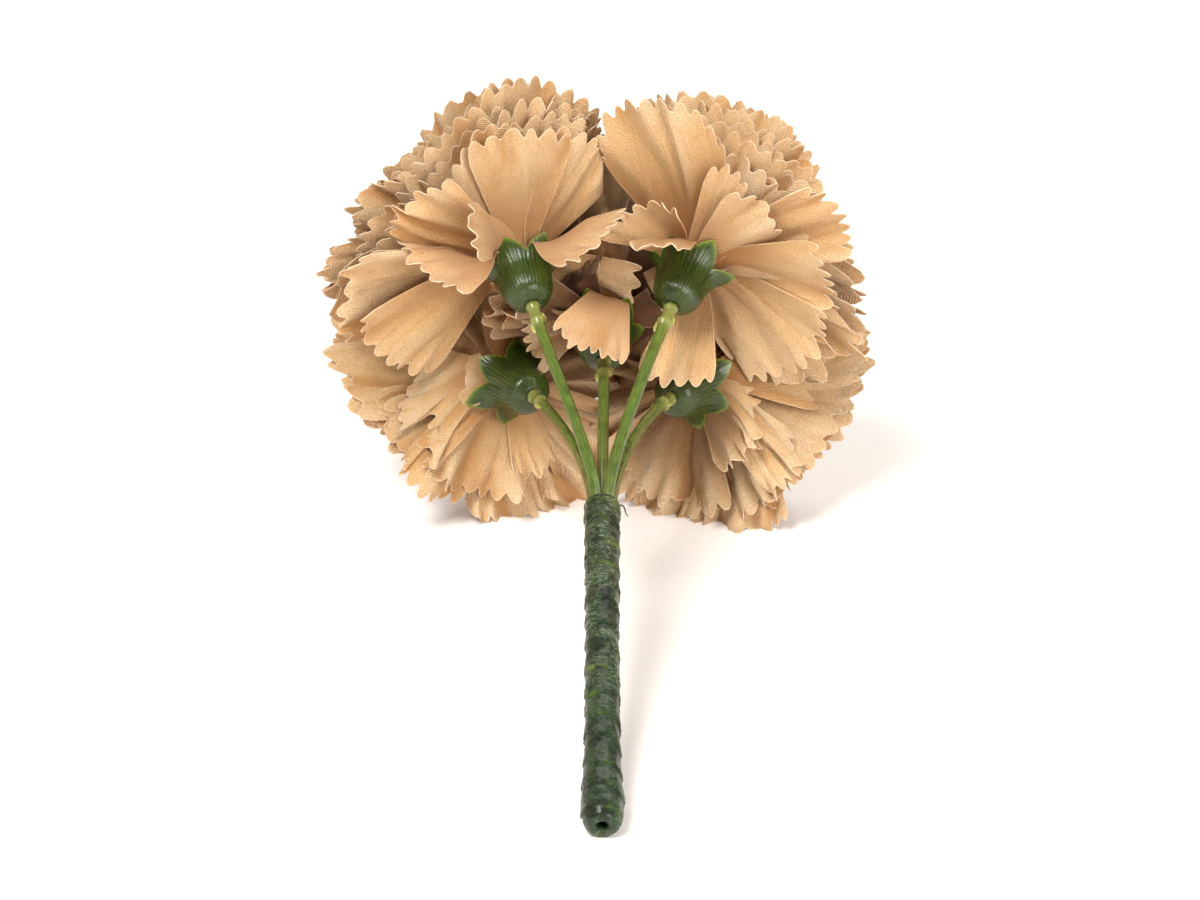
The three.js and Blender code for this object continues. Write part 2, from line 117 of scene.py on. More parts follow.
def distances_along(line: np.ndarray) -> np.ndarray:
    """How far each point of a line lies from its start along it."""
    return np.concatenate([[0], np.cumsum(np.linalg.norm(np.diff(line, axis=0), axis=1))])


@dataclass(frozen=True)
class BunchFrame:
    """Where the bunch's own frame lies in the row frame.

    Attributes:
        tilt: How far the heads are raised, in degrees.
        end_height: Height of the middle of the handle's end over the table.
        end_ring_reach: How far the end ring of the tape stands out behind that middle.
    """

    tilt: float = 17.5
    end_height: float = 3.2
    end_ring_reach: float = 0.77

    def origin(self) -> np.ndarray:
        """The middle of the handle's end in the row frame, in millimetres."""
        low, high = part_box("tape_wrap")
        return np.array([(low.x + high.x) / 2 / MM, low.y / MM + self.end_ring_reach, self.end_height])

    def table(self) -> tuple[np.ndarray, float]:
        """The table's upward normal in the bunch's frame, and its offset."""
        angle = math.radians(self.tilt)
        return np.array([0.0, math.sin(angle), math.cos(angle)]), -self.end_height

    def to_row(self, points: np.ndarray) -> np.ndarray:
        """Moves points into the row frame.

        Args:
            points: Points in the bunch's frame, in millimetres.

        Returns:
            The points in the row frame, in metres.
        """
        angle = math.radians(self.tilt)
        x, y, z = points[..., 0], points[..., 1], points[..., 2]
        forward = y * math.cos(angle) - z * math.sin(angle)
        upward = y * math.sin(angle) + z * math.cos(angle)
        return (np.stack([x, forward, upward], axis=-1) + self.origin()) * MM


@dataclass(frozen=True)
class HeadFrame:
    """A head's seat and directions in the bunch's frame.

    Attributes:
        seat: Where the cup sits on its stem.
        axis: Direction out of the cup.
        right: Direction across the axis at azimuth 0.
        up: Direction across the axis at azimuth 90.
        reaches: Factors on the petals' lengths, at even steps of azimuth from 0.
        openings: Factors on their flares, in the same way.
    """

    seat: np.ndarray
    axis: np.ndarray
    right: np.ndarray
    up: np.ndarray
    reaches: tuple[float, ...]
    openings: tuple[float, ...]

    def reach(self, azimuth: np.ndarray) -> np.ndarray:
        """Factors on the petals' lengths at azimuths in radians."""
        return around(azimuth, self.reaches)

    def opening(self, azimuth: np.ndarray) -> np.ndarray:
        """Factors on their flares at azimuths in radians."""
        return around(azimuth, self.openings)

    def out(self, azimuth: np.ndarray) -> np.ndarray:
        """Directions away from the axis at azimuths in radians."""
        turn = np.asarray(azimuth)[..., None]
        return np.cos(turn) * self.right + np.sin(turn) * self.up

    def place(self, azimuth: np.ndarray, radius: np.ndarray, height: np.ndarray) -> np.ndarray:
        """Points at azimuths in radians, distances from the axis and heights over the seat."""
        return (
            self.seat
            + np.asarray(height)[..., None] * self.axis
            + np.asarray(radius)[..., None] * self.out(azimuth)
        )


@dataclass(frozen=True)
class Wall:
    """A plane that a head's petals stay behind, with its normal into the head's room."""

    normal: np.ndarray
    offset: float
    margin: float

    def depth(self, points: np.ndarray) -> np.ndarray:
        """How far points lie inside the room, past the margin."""
        return points @ self.normal - self.offset - self.margin


@dataclass(frozen=True)
class Room:
    """The space between the planes where one head meets the others and the table.

    Attributes:
        middle: X of the plane between left and right.
        tier_point: Point of the plane between upper and lower.
        tier_lean: Its lean in degrees.
        tier_side: Its slant to the side.
        heart_distance: Distance of the centre head's four planes from the bunch's axis.
        heart_height: Y at which they have that distance.
        heart_lean: Their lean in degrees.
        margin: Room that stays free at the planes and over the table.
    """

    middle: float = 0.4
    tier_point: Triple = (22, 200, 0)
    tier_lean: float = 35
    tier_side: float = 0.5
    heart_distance: float = 14.5
    heart_height: float = 188
    heart_lean: float = 17
    margin: float = 0.2

    def heart_wall(self, x: float, z: float, towards: float) -> Wall:
        """One of the centre head's planes.

        Args:
            x: Side to which it lies, -1 being left and 1 right.
            z: The same, -1 being below and 1 above.
            towards: -1 for the centre head's room, 1 for that of the head beyond the plane.

        Returns:
            The plane.
        """
        lean = math.radians(self.heart_lean)
        across = unit(np.array([x, 0.0, z]))
        normal = across * math.cos(lean)
        normal[1] = -math.sin(lean)
        point = across * self.heart_distance
        point[1] = self.heart_height
        normal = normal * towards
        return Wall(normal, float(normal @ point), self.margin)

    def walls(self, seat: Triple, is_heart: bool, bunch: BunchFrame) -> list[Wall]:
        """The planes round one head.

        Args:
            seat: The head's seat.
            is_heart: Whether it is the centre head.
            bunch: The bunch's frame, for the table.

        Returns:
            The planes, the table's last.
        """
        side, tier = math.copysign(1, seat[0]), math.copysign(1, seat[2])
        if is_heart:
            found = [self.heart_wall(x, z, -1) for x in (-1, 1) for z in (-1, 1)]
        else:
            lean = math.radians(self.tier_lean)
            tier_normal = tier * unit(np.array([side * self.tier_side, -math.sin(lean), math.cos(lean)]))
            tier_point = np.array([side * self.tier_point[0], *self.tier_point[1:]])
            found = [
                Wall(np.array([side, 0.0, 0.0]), side * self.middle, self.margin),
                Wall(tier_normal, float(tier_normal @ tier_point), self.margin),
                self.heart_wall(side, tier, 1),
            ]
        normal, offset = bunch.table()
        return [*found, Wall(normal, offset, self.margin)]


class Stock:
    """Collects the vertices, faces, cloth coordinates and point values of one piece."""

    def __init__(self) -> None:
        """Starts empty."""
        self.points: list[np.ndarray] = []
        self.faces: list[list[int]] = []
        self.cloth: list[np.ndarray] = []
        self.values: dict[str, list[np.ndarray]] = {}
        self.count = 0

    def add(
        self, points: np.ndarray, faces: np.ndarray | list[list[int]], cloth: np.ndarray, **values: np.ndarray
    ) -> None:
        """Adds one closed shell.

        Args:
            points: Its points in the bunch's frame.
            faces: Its faces' corner numbers, as an array or as lists.
            cloth: Two surface coordinates for each point, in millimetres.
            **values: Further values for each point, the same names for every shell of a piece.
        """
        self.points.append(points.reshape(-1, 3))
        plain = faces.tolist() if isinstance(faces, np.ndarray) else faces
        self.faces += [[corner + self.count for corner in face] for face in plain]
        self.cloth.append(cloth.reshape(-1, 2))
        for name, value in values.items():
            self.values.setdefault(name, []).append(np.asarray(value, float).ravel())
        self.count += len(self.points[-1])

    def piece(self, name: str, bunch: BunchFrame, crease: float = 50) -> bpy.types.Object:
        """Makes the piece's object.

        Args:
            name: The object's name.
            bunch: The frame that the points are in.
            crease: Angle in degrees past which an edge shades sharp.

        Returns:
            The object, linked to the scene.
        """
        mesh = bpy.data.meshes.new(name)
        mesh.from_pydata(bunch.to_row(np.concatenate(self.points)).tolist(), [], self.faces)
        corners = np.zeros(len(mesh.loops), np.int32)
        mesh.loops.foreach_get("vertex_index", corners)
        layer = mesh.uv_layers.new(name="cloth")
        layer.uv.foreach_set("vector", np.concatenate(self.cloth)[corners].astype(np.float32).ravel())
        for key, parts in self.values.items():
            attribute = mesh.attributes.new(key, "FLOAT", "POINT")
            attribute.data.foreach_set("value", np.concatenate(parts).astype(np.float32))
        mesh.shade_smooth()
        mesh.set_sharp_from_angle(angle=math.radians(crease))
        piece = bpy.data.objects.new(name, mesh)
        bpy.context.scene.collection.objects.link(piece)
        return piece


def grid_faces(rows: int, columns: int, start: int = 0, closed: bool = False) -> np.ndarray:
    """Faces of a grid of points stored row by row.

    Args:
        rows: Number of rows.
        columns: Points in a row.
        start: Number of the first point.
        closed: Whether the last column joins the first.

    Returns:
        Rows of four corner numbers.
    """
    i, j = np.meshgrid(np.arange(rows - 1), np.arange(columns if closed else columns - 1), indexing="ij")
    row, j = i.ravel() * columns, j.ravel()
    k = (j + 1) % columns
    return start + np.stack([row + j, row + k, row + columns + k, row + columns + j], axis=1)


def ring_faces(rows: int, columns: int) -> np.ndarray:
    """Faces of a grid of points that closes both ways, as the skin of a ring or a cup does.

    Args:
        rows: Number of rows. The last joins the first.
        columns: Points in a row.

    Returns:
        Rows of four corner numbers.
    """
    k = np.arange(columns)
    following = (k + 1) % columns
    start = (rows - 1) * columns
    last = np.stack([start + k, start + following, following, k], axis=1)
    return np.concatenate([grid_faces(rows, columns, closed=True), last])


def ring_cloth(theta: np.ndarray, radius: float, height: np.ndarray) -> np.ndarray:
    """Surface coordinates of rings of points: the way round at one radius, and the height."""
    return np.stack([np.broadcast_to(both_ways(theta) * radius, height.shape), height], axis=-1)


def sheet_shell(surface: np.ndarray, thickness: float) -> tuple[np.ndarray, np.ndarray]:
    """Closes an open grid of points into a thin sheet.

    Args:
        surface: Points of the middle surface as rows, columns and coordinates.
        thickness: The sheet's thickness.

    Returns:
        The points, the front side's first and then the back side's, and the faces.
    """
    rows, columns = surface.shape[:2]
    along = np.gradient(surface, axis=0)
    across = np.gradient(surface, axis=1)
    half = unit(np.cross(across, along)) * thickness / 2
    front = grid_faces(rows, columns)
    back = front[:, ::-1] + rows * columns
    number = np.arange(rows * columns).reshape(rows, columns)
    ring = np.concatenate([number[0, :-1], number[:-1, -1], number[-1, :0:-1], number[:0:-1, 0]])
    following = np.roll(ring, -1)
    rim = np.stack([following, ring, ring + rows * columns, following + rows * columns], axis=1)
    points = np.concatenate([(surface + half).reshape(-1, 3), (surface - half).reshape(-1, 3)])
    return points, np.concatenate([front, back, rim])


@dataclass(frozen=True)
class Scallops:
    """How the scallops of a cut rim are shaped, and how unlike each other they are.

    A notch wanders off its even place. A scallop leans to one side, stands forward or back and differs in
    height. Its outline is a blunt arch with a share of a pointed one, and the rim falls off to the sides.
    """

    wander: float = 0.26
    lean: float = 0.16
    heights: Pair = (0.72, 1.1)
    drop: float = 0.012
    round_share: float = 0.85
    round_power: float = 2.5
    point_share: float = 0.15
    side_power: float = 2.2


SCALLOPS = Scallops()


@dataclass(frozen=True)
class Cut:
    """The flat cut of a petal: a fan with a scalloped rim.

    Attributes:
        length: From root to rim.
        half_width: Half the width at the rim.
        teeth: Number of scallops.
        tooth_depth: Depth of the notches between them.
        rounding: How much shorter the sides are, as a share of the length.
        root_half_width: Half the width at the root.
        fan_power: How the width grows from the root.
    """

    length: float
    half_width: float
    teeth: int
    tooth_depth: float
    rounding: float
    root_half_width: float = 2.2
    fan_power: float = 0.95

    def rim(self, t: np.ndarray, rng: np.random.Generator) -> tuple[np.ndarray, np.ndarray]:
        """The rim's share of the length without its scallops, and what the notches take off.

        Args:
            t: Places across the petal from -1 to 1.
            rng: Draws for the scallops.

        Returns:
            Both along t.
        """
        form = SCALLOPS
        bounds = np.linspace(-1, 1, self.teeth + 1)
        bounds[1:-1] += rng.uniform(-form.wander, form.wander, self.teeth - 1) / self.teeth
        tooth = np.clip(np.searchsorted(bounds, t, side="right") - 1, 0, self.teeth - 1)
        place = (t - bounds[tooth]) / (bounds[tooth + 1] - bounds[tooth])
        lean = rng.uniform(-form.lean, form.lean, self.teeth)[tooth]
        place = np.clip(place + lean * place * (1 - place) * 2, 0, 1)
        out = np.abs(2 * place - 1)
        arch = 1 - form.round_share * out**form.round_power - form.point_share * out
        height = rng.uniform(*form.heights, self.teeth)[tooth]
        drop = rng.uniform(-form.drop, form.drop, self.teeth)[tooth] * arch
        base = 1 - self.rounding * np.abs(t) ** form.side_power
        return base, self.tooth_depth / self.length * (1 - arch * height) + drop

    def half_width_at(self, s: np.ndarray) -> np.ndarray:
        """Half the width at shares of the length."""
        return lerp(self.root_half_width, self.half_width, s**self.fan_power)


@dataclass(frozen=True)
class Crumple:
    """What the folds, creases and ruffles of all petals have in common.

    The folds' height is a share of the fold depth, their spacing is counted over half the petal's width, and
    they sway sideways along the length. There are several creases for each fold. A crease drifts sideways
    from the rim to the root, begins at a share of the length that varies and has a least height and more on
    top. The ruffles' sway is how uneven their spacing is and over how many waves, and their swell is their
    average height, how much it varies and over how many waves.
    """

    fold_share: float = 0.6
    fold_spacing: float = 0.45
    sway: float = 0.12
    sway_turns: float = 0.8
    creases_each: float = 1.5
    crease_drift: float = 0.3
    crease_widths: Pair = (0.08, 0.28)
    crease_power: float = 1.4
    crease_start: Pair = (0.2, 0.2)
    crease_fade: float = 0.45
    crease_height: Pair = (0.4, 0.5)
    root_power: float = 1.15
    ruffle_sway: Pair = (0.22, 4)
    ruffle_swell: Triple = (0.7, 0.5, 3.1)


CRUMPLE = Crumple()


@dataclass(frozen=True)
class Drape:
    """How a petal's cloth is folded and ruffled.

    Attributes:
        folds: Lengthwise folds over the petal's width.
        fold_depth: Their depth at the rim.
        ruffles: Ruffles along the rim.
        ruffle_depth: Their depth.
        ruffle_start: Share of the length where they begin.
    """

    folds: float
    fold_depth: float
    ruffles: float
    ruffle_depth: float
    ruffle_start: float = 0.55

    def relief(self, s: np.ndarray, t: np.ndarray, rng: np.random.Generator) -> np.ndarray:
        """Height of the cloth over its smooth surface.

        Args:
            s: Shares of the length.
            t: Places across from -1 to 1.
            rng: Draws for where the folds lie.

        Returns:
            Heights in millimetres.
        """
        form = CRUMPLE
        first, second, third, fourth = rng.uniform(0, 1, 4)
        sideways = form.sway * np.sin(TAU * (s * form.sway_turns + fourth))
        folds = form.fold_share * pleat(self.folds * (t + sideways) * form.fold_spacing + first)
        begin, vary = form.crease_start
        least, more = form.crease_height
        for _ in range(round(form.creases_each * self.folds) + 1):
            middle, drift, width, side, start = rng.uniform(-1, 1, 5)
            away = t - middle - form.crease_drift * drift * (s - 1)
            away = away / lerp(*form.crease_widths, (width + 1) / 2)
            crease = np.exp(-np.abs(away) ** form.crease_power)
            crease = crease * smooth((s - begin - vary * start) / form.crease_fade)
            folds = folds + math.copysign(least + more * abs(side), side) * crease
        rim = smooth((s - self.ruffle_start) / (1 - self.ruffle_start))
        uneven, waves = form.ruffle_sway
        ruffles = np.sin(TAU * (self.ruffles * t / 2 + third + uneven * np.sin(waves * t + TAU * first)))
        mean, swing, waves = form.ruffle_swell
        ruffles = ruffles * (mean + swing * np.sin(waves * t + TAU * second))
        return self.fold_depth * s**form.root_power * folds + self.ruffle_depth * rim * ruffles


@dataclass(frozen=True)
class Grain:
    """How many points a petal's mesh has: rows in all, and columns for each scallop."""

    rows: int
    tooth_columns: int


@dataclass(frozen=True)
class Bend:
    """Roots and bends that all petals of a head share.

    Attributes:
        root_radius: Distance of the outermost roots from the axis.
        root_height: Their height over the seat.
        root_closing: How much nearer the axis each layer's roots are.
        root_rise: How much higher they are.
        root_angle: Angle off the axis at the root, in degrees.
        bend_end: Share of the length where the petal has reached its flare.
        widest_wrap: Furthest that a petal reaches round the axis to each side, in radians.
        thickness: Thickness of the cloth.
    """

    root_radius: float = 4.7
    root_height: float = 11.5
    root_closing: float = 0.5
    root_rise: float = 0.8
    root_angle: float = ROOT_ANGLE
    bend_end: float = 0.27
    widest_wrap: float = 1.35
    thickness: float = 0.27


LINE_STEPS = 32
FREE_LINE_START = 7
NARROWEST_FLARE = -6
SOFTNESS = 2.0
SEARCH_ROUNDS = 9
REACH_FROM = 25
REACH_FULL = 75
FURTHEST_SHARE = 1.02
NARROWEST_RADIUS = 0.8
WALL_SOFTNESS = 0.8
EASING_STEPS = 7
SPIN_END = 0.5


@dataclass(frozen=True)
class LayerPetal:
    """A petal of the head's nested layers, lying on a cone round the axis.

    Attributes:
        azimuth: Where it points, in degrees.
        flare: Its angle off the axis, in degrees.
        layer: Its layer, from 0 at the back.
        cut: Its flat cut.
        drape: Its folds.
        curl: Further bend of its outer part, in degrees, outward if positive.
        lean: Difference in flare between its two sides, in degrees.
        reserve: Room that it keeps from the walls.
        shade: How much painted shade it gets, full over its inner part and fading towards the rim, from 0 to
            1.
    """

    azimuth: float
    flare: float
    layer: float
    cut: Cut
    drape: Drape
    curl: float
    lean: float
    reserve: float
    shade: float = 0.3

    def line(
        self, flare: np.ndarray, lengths: np.ndarray, bend: Bend
    ) -> tuple[np.ndarray, np.ndarray, np.ndarray]:
        """The petal's lines from root to rim, in even steps.

        Args:
            flare: Their flares, in degrees.
            lengths: Their lengths.
            bend: What the head's petals share.

        Returns:
            Radius, height and angle, as rows of steps.
        """
        share = (np.arange(LINE_STEPS + 1)[:, None] + 0.5) / LINE_STEPS
        angle = bend.root_angle + (flare[None] - bend.root_angle) * smooth(share / bend.bend_end)
        angle = np.radians(angle + self.curl * smooth((share - 0.5) / 0.5))
        step = lengths / LINE_STEPS
        radius = bend.root_radius - bend.root_closing * self.layer + step * np.cumsum(np.sin(angle), axis=0)
        height = bend.root_height + bend.root_rise * self.layer + step * np.cumsum(np.cos(angle), axis=0)
        return radius - step * np.sin(angle), height - step * np.cos(angle), angle

    def lengths(self, azimuth: np.ndarray, head: HeadFrame) -> np.ndarray:
        """Lengths at azimuths in radians. The head's factors hold for the wide petals and fade inwards."""
        share = np.clip((self.flare - REACH_FROM) / (REACH_FULL - REACH_FROM), 0, 1)
        return self.cut.length * (1 + (head.reach(azimuth) - 1) * share)

    def flare_in_room(
        self, azimuth: np.ndarray, head: HeadFrame, walls: list[Wall], bend: Bend
    ) -> np.ndarray:
        """The widest flares at which the petal's lines stay in the room, eased in softly.

        Args:
            azimuth: Azimuths in radians.
            head: The head's frame.
            walls: The planes round it.
            bend: What its petals share.

        Returns:
            The flares in degrees.
        """
        wanted = self.flare * head.opening(azimuth) + self.lean * np.linspace(-1, 1, len(azimuth))
        lengths = self.lengths(azimuth, head)
        low = np.full(len(azimuth), float(NARROWEST_FLARE))
        high = wanted + 3 * SOFTNESS
        for turn in range(SEARCH_ROUNDS):
            middle = (low + high) / 2 if turn else high
            radius, height, _ = self.line(middle, lengths, bend)
            points = head.place(np.broadcast_to(azimuth, radius.shape), radius, height)[FREE_LINE_START:]
            fits = np.all([(wall.depth(points) >= self.reserve).all(axis=0) for wall in walls], axis=0)
            low = np.where(fits, middle, low)
            high = np.where(fits, high, middle)
        return wanted - SOFTNESS * np.log1p(np.exp((wanted - low) / SOFTNESS))

    def surface(
        self, s: np.ndarray, t: np.ndarray, head: HeadFrame, walls: list[Wall], bend: Bend,
        rng: np.random.Generator,
    ) -> tuple[np.ndarray, np.ndarray]:
        """Points of the petal's middle surface, and its relief.

        Args:
            s: Shares of the length, as rows and columns.
            t: Places across, for the columns.
            head: The head's frame.
            walls: The planes round it.
            bend: What its petals share.
            rng: Draws for its folds.

        Returns:
            The points in the bunch's frame, and how high each stands in its folds.
        """
        middle = np.full(1, math.radians(self.azimuth))
        middle_flare = self.flare_in_room(middle, head, walls, bend)
        middle_radius, _, _ = self.line(middle_flare, self.lengths(middle, head), bend)
        wrap = min(self.cut.half_width / max(float(middle_radius[-1, 0]), 1.0), bend.widest_wrap)
        azimuth = middle + t * wrap
        lengths = self.lengths(azimuth, head)
        radius, height, angle = self.line(self.flare_in_room(azimuth, head, walls, bend), lengths, bend)
        place = np.clip(s, 0, FURTHEST_SHARE) * LINE_STEPS
        index = np.clip(place.astype(int), 0, LINE_STEPS - 1)
        part = place - index
        column = np.broadcast_to(np.arange(len(t)), s.shape)

        def at(values: np.ndarray) -> np.ndarray:
            """Values at s."""
            return values[index, column] * (1 - part) + values[index + 1, column] * part

        middle_at = np.interp(s * LINE_STEPS, np.arange(LINE_STEPS + 1), middle_radius[:, 0])
        width = self.cut.half_width_at(s)
        wrap = np.minimum(width / np.maximum(middle_at, NARROWEST_RADIUS), bend.widest_wrap)
        relief = self.drape.relief(s, np.broadcast_to(t, s.shape), rng)
        slope = at(angle)
        out, up = at(radius) - relief * np.cos(slope), at(height) + relief * np.sin(slope)
        return head.place(math.radians(self.azimuth) + t * wrap, out, up), relief


@dataclass(frozen=True)
class Roll:
    """A fold-over of the flat cut along a straight line.

    Attributes:
        across: Where the line crosses the petal's middle line, as x in millimetres.
        along: The same, as y from the root.
        towards: Direction in which the cloth is turned over, in degrees from x.
        radius: Radius of the roll.
        turn: How far it is turned over, in degrees, to the back if positive.
    """

    across: float
    along: float
    towards: float
    radius: float
    turn: float

    def apply(self, flat: np.ndarray) -> np.ndarray:
        """Turns over what lies past the line.

        Args:
            flat: Points as x, y and height over the cut.

        Returns:
            The points after the fold.
        """
        angle = math.radians(self.towards)
        way = np.array([math.cos(angle), math.sin(angle)])
        past = np.maximum((flat[..., 0] - self.across) * way[0] + (flat[..., 1] - self.along) * way[1], 0)
        full = math.radians(abs(self.turn))
        bent = np.minimum(past / self.radius, full)
        rest = np.maximum(past - self.radius * full, 0)
        side = -math.copysign(1, self.turn)
        shift = self.radius * np.sin(bent) + rest * math.cos(full) - past
        lift = self.radius * (1 - np.cos(bent)) + rest * math.sin(full)
        upright = flat[..., 2]
        result = flat.copy()
        result[..., 0] += way[0] * (shift - side * upright * np.sin(bent))
        result[..., 1] += way[1] * (shift - side * upright * np.sin(bent))
        result[..., 2] = side * lift + upright * np.cos(bent)
        return result


@dataclass(frozen=True)
class FreePetal:
    """A petal of the back layer, given one by one: a flat cut that is folded, cupped and bent.

    Attributes:
        azimuth: Where it leaves the cup, in degrees.
        angles: Pairs of a share of the length and the angle off the axis there, in degrees.
        cut: Its flat cut.
        drape: Its folds.
        skew: Turn of the cut about its root, in degrees, towards higher azimuths if positive.
        cup: Radius of its hollow across the length, to the front if positive, or 0 if flat.
        spin: Turn of its outer part about its own length, in degrees.
        rolls: Where it is folded over.
        pressed: Whether it stays behind the head's walls.
        shade: How much painted shade it gets, full over its inner part and fading towards the rim, from 0 to
            1.
    """

    azimuth: float
    angles: tuple[Pair, ...]
    cut: Cut
    drape: Drape
    skew: float = 0.0
    cup: float = 0.0
    spin: float = 0.0
    rolls: tuple[Roll, ...] = ()
    pressed: bool = True
    shade: float = 0.0

    def laid_out(self, flat: np.ndarray) -> tuple[np.ndarray, np.ndarray, np.ndarray]:
        """Rolls, turns, spins and cups the flat cut, before it is bent along its line.

        Args:
            flat: Points as x, y and height over the cut.

        Returns:
            Their places across, along the petal's direction, and to its front.
        """
        for roll in self.rolls:
            flat = roll.apply(flat)
        turn = math.radians(self.skew)
        x = flat[..., 0] * math.cos(turn) + flat[..., 1] * math.sin(turn)
        y = -flat[..., 0] * math.sin(turn) + flat[..., 1] * math.cos(turn)
        z = flat[..., 2]
        spin = math.radians(self.spin) * smooth(y / self.cut.length / SPIN_END)
        x, z = x * np.cos(spin) - z * np.sin(spin), z * np.cos(spin) + x * np.sin(spin)
        if self.cup:
            bow = x / self.cup
            x, z = (self.cup - z) * np.sin(bow), z * np.cos(bow) + self.cup * (1 - np.cos(bow))
        return x, y, z

    def line(self, bend: Bend) -> tuple[np.ndarray, np.ndarray, np.ndarray, np.ndarray]:
        """The petal's middle line.

        Args:
            bend: What the head's petals share.

        Returns:
            Shares of the length, and the angle, the radius and the height there.
        """
        shares, degrees = zip(*self.angles)
        steps = np.linspace(0, 1, LINE_STEPS + 1)
        padded = np.pad(np.interp(steps, shares, degrees), EASING_STEPS // 2, mode="edge")
        angle = np.radians(np.convolve(padded, np.ones(EASING_STEPS) / EASING_STEPS, mode="valid"))
        step = self.cut.length / LINE_STEPS
        radius = bend.root_radius + np.concatenate([[0], step * np.cumsum(np.sin(angle[:-1]))])
        height = bend.root_height + np.concatenate([[0], step * np.cumsum(np.cos(angle[:-1]))])
        return steps, angle, radius, height

    def surface(
        self, s: np.ndarray, t: np.ndarray, head: HeadFrame, walls: list[Wall], bend: Bend,
        rng: np.random.Generator,
    ) -> tuple[np.ndarray, np.ndarray]:
        """Points of the petal's middle surface, and its relief.

        Args:
            s: Shares of the length, as rows and columns.
            t: Places across, for the columns.
            head: The head's frame.
            walls: The planes round it.
            bend: What its petals share.
            rng: Draws for its folds.

        Returns:
            The points in the bunch's frame, and how high each stands in its folds.
        """
        relief = self.drape.relief(s, np.broadcast_to(t, s.shape), rng)
        flat = np.stack([t * self.cut.half_width_at(s), s * self.cut.length, relief], axis=-1)
        x, y, z = self.laid_out(flat)
        steps, angle, radius, height = self.line(bend)
        share = y / self.cut.length
        inside = np.clip(share, 0, 1)
        slope = np.interp(inside, steps, angle)
        beyond = (share - inside) * self.cut.length
        line_radius = np.interp(inside, steps, radius) + beyond * np.sin(slope)
        line_height = np.interp(inside, steps, height) + beyond * np.cos(slope)
        direction = math.radians(self.azimuth)
        out, across = head.out(np.array(direction)), head.out(np.array(direction + math.pi / 2))
        points = (
            head.seat
            + (line_radius - z * np.cos(slope))[..., None] * out
            + (line_height + z * np.sin(slope))[..., None] * head.axis
            + x[..., None] * across
        )
        for wall in walls if self.pressed else walls[-1:]:
            push = np.logaddexp(0, -wall.depth(points) / WALL_SOFTNESS) * WALL_SOFTNESS
            points = points + push[..., None] * wall.normal
        return points, relief


Petal = LayerPetal | FreePetal


@dataclass(frozen=True)
class Layer:
    """One layer of a head.

    Attributes:
        petals: Number of its petals.
        flare: Their angle off the axis, in degrees.
        length: From root to rim.
        half_width: Half a petal's width at the rim.
        teeth: Number of scallops.
        curl: Further bend of the outer part, in degrees.
        ruffle: Depth of the ruffles.
    """

    petals: int
    flare: float
    length: float
    half_width: float
    teeth: int
    curl: float = 0.0
    ruffle: float = 0.8


OUTER_LAYERS = (
    Layer(8, 91, 42, 18, 8, 0),
    Layer(8, 80, 45, 19, 8, 3),
    Layer(8, 70, 47.5, 19, 8, 5),
    Layer(7, 59, 47, 19, 8, 6),
    Layer(7, 49, 46.5, 18, 7, 6, 1.1),
    Layer(6, 39, 46, 17, 7, 6, 1.4),
    Layer(5, 30, 45, 16, 6, 4, 1.5),
    Layer(4, 19, 43, 14, 6, 2, 1.9),
    Layer(3, 9, 41, 12, 5, 0, 2.2),
    Layer(3, 2, 39, 9, 5, 0, 2.2),
)
HEART_LAYERS = (
    Layer(7, 68, 49, 18, 8, 4),
    Layer(7, 58, 49, 18, 8, 4),
    Layer(6, 47, 48, 18, 7, 4, 1.0),
    Layer(5, 36, 47, 16, 7, 4, 1.2),
    Layer(5, 26, 46, 15, 6, 2, 1.5),
    Layer(4, 16, 44, 13, 6, 0, 1.9),
    Layer(3, 8, 42, 12, 5, 0, 2.2),
    Layer(3, 2, 40, 9, 5, 0, 2.2),
)
LAYER_TURN = 137.5
FINE_LAYERS = 5


@dataclass(frozen=True)
class HeadPlan:
    """One flower head and its stem.

    Attributes:
        name: The end of its nodes' names.
        seat: Where the cup sits.
        spread: Lean of its axis off the bunch's, in degrees.
        turn: To which side it leans, 0 being right and 90 up.
        ring: Its stem's place in the handle, in degrees.
        twist: Turn of its layers, in degrees.
        lobes: How far each lobe of its cup is bent out.
        reaches: Factors on its petals' lengths, at even steps of azimuth from 0.
        openings: Factors on their flares, in the same way.
        back: Its petals given one by one.
        layers: Its layers, from the back one.
        seed: For its draws.
    """

    name: str
    seat: Triple
    spread: float
    turn: float
    ring: float
    twist: float
    lobes: tuple[float, ...]
    reaches: tuple[float, ...]
    openings: tuple[float, ...]
    back: tuple[Petal, ...]
    layers: tuple[Layer, ...]
    seed: int

    def frame(self) -> HeadFrame:
        """Works out the head's directions.

        Returns:
            The head's frame.
        """
        spread, turn = math.radians(self.spread), math.radians(self.turn)
        side = math.sin(spread)
        axis = np.array([side * math.cos(turn), math.cos(spread), side * math.sin(turn)])
        right = unit(np.array([1.0, 0, 0]) - axis * axis[0])
        up = np.cross(right, axis)
        return HeadFrame(np.array(self.seat, float), axis, right, up, self.reaches, self.openings)


RUFFLES = 3.5


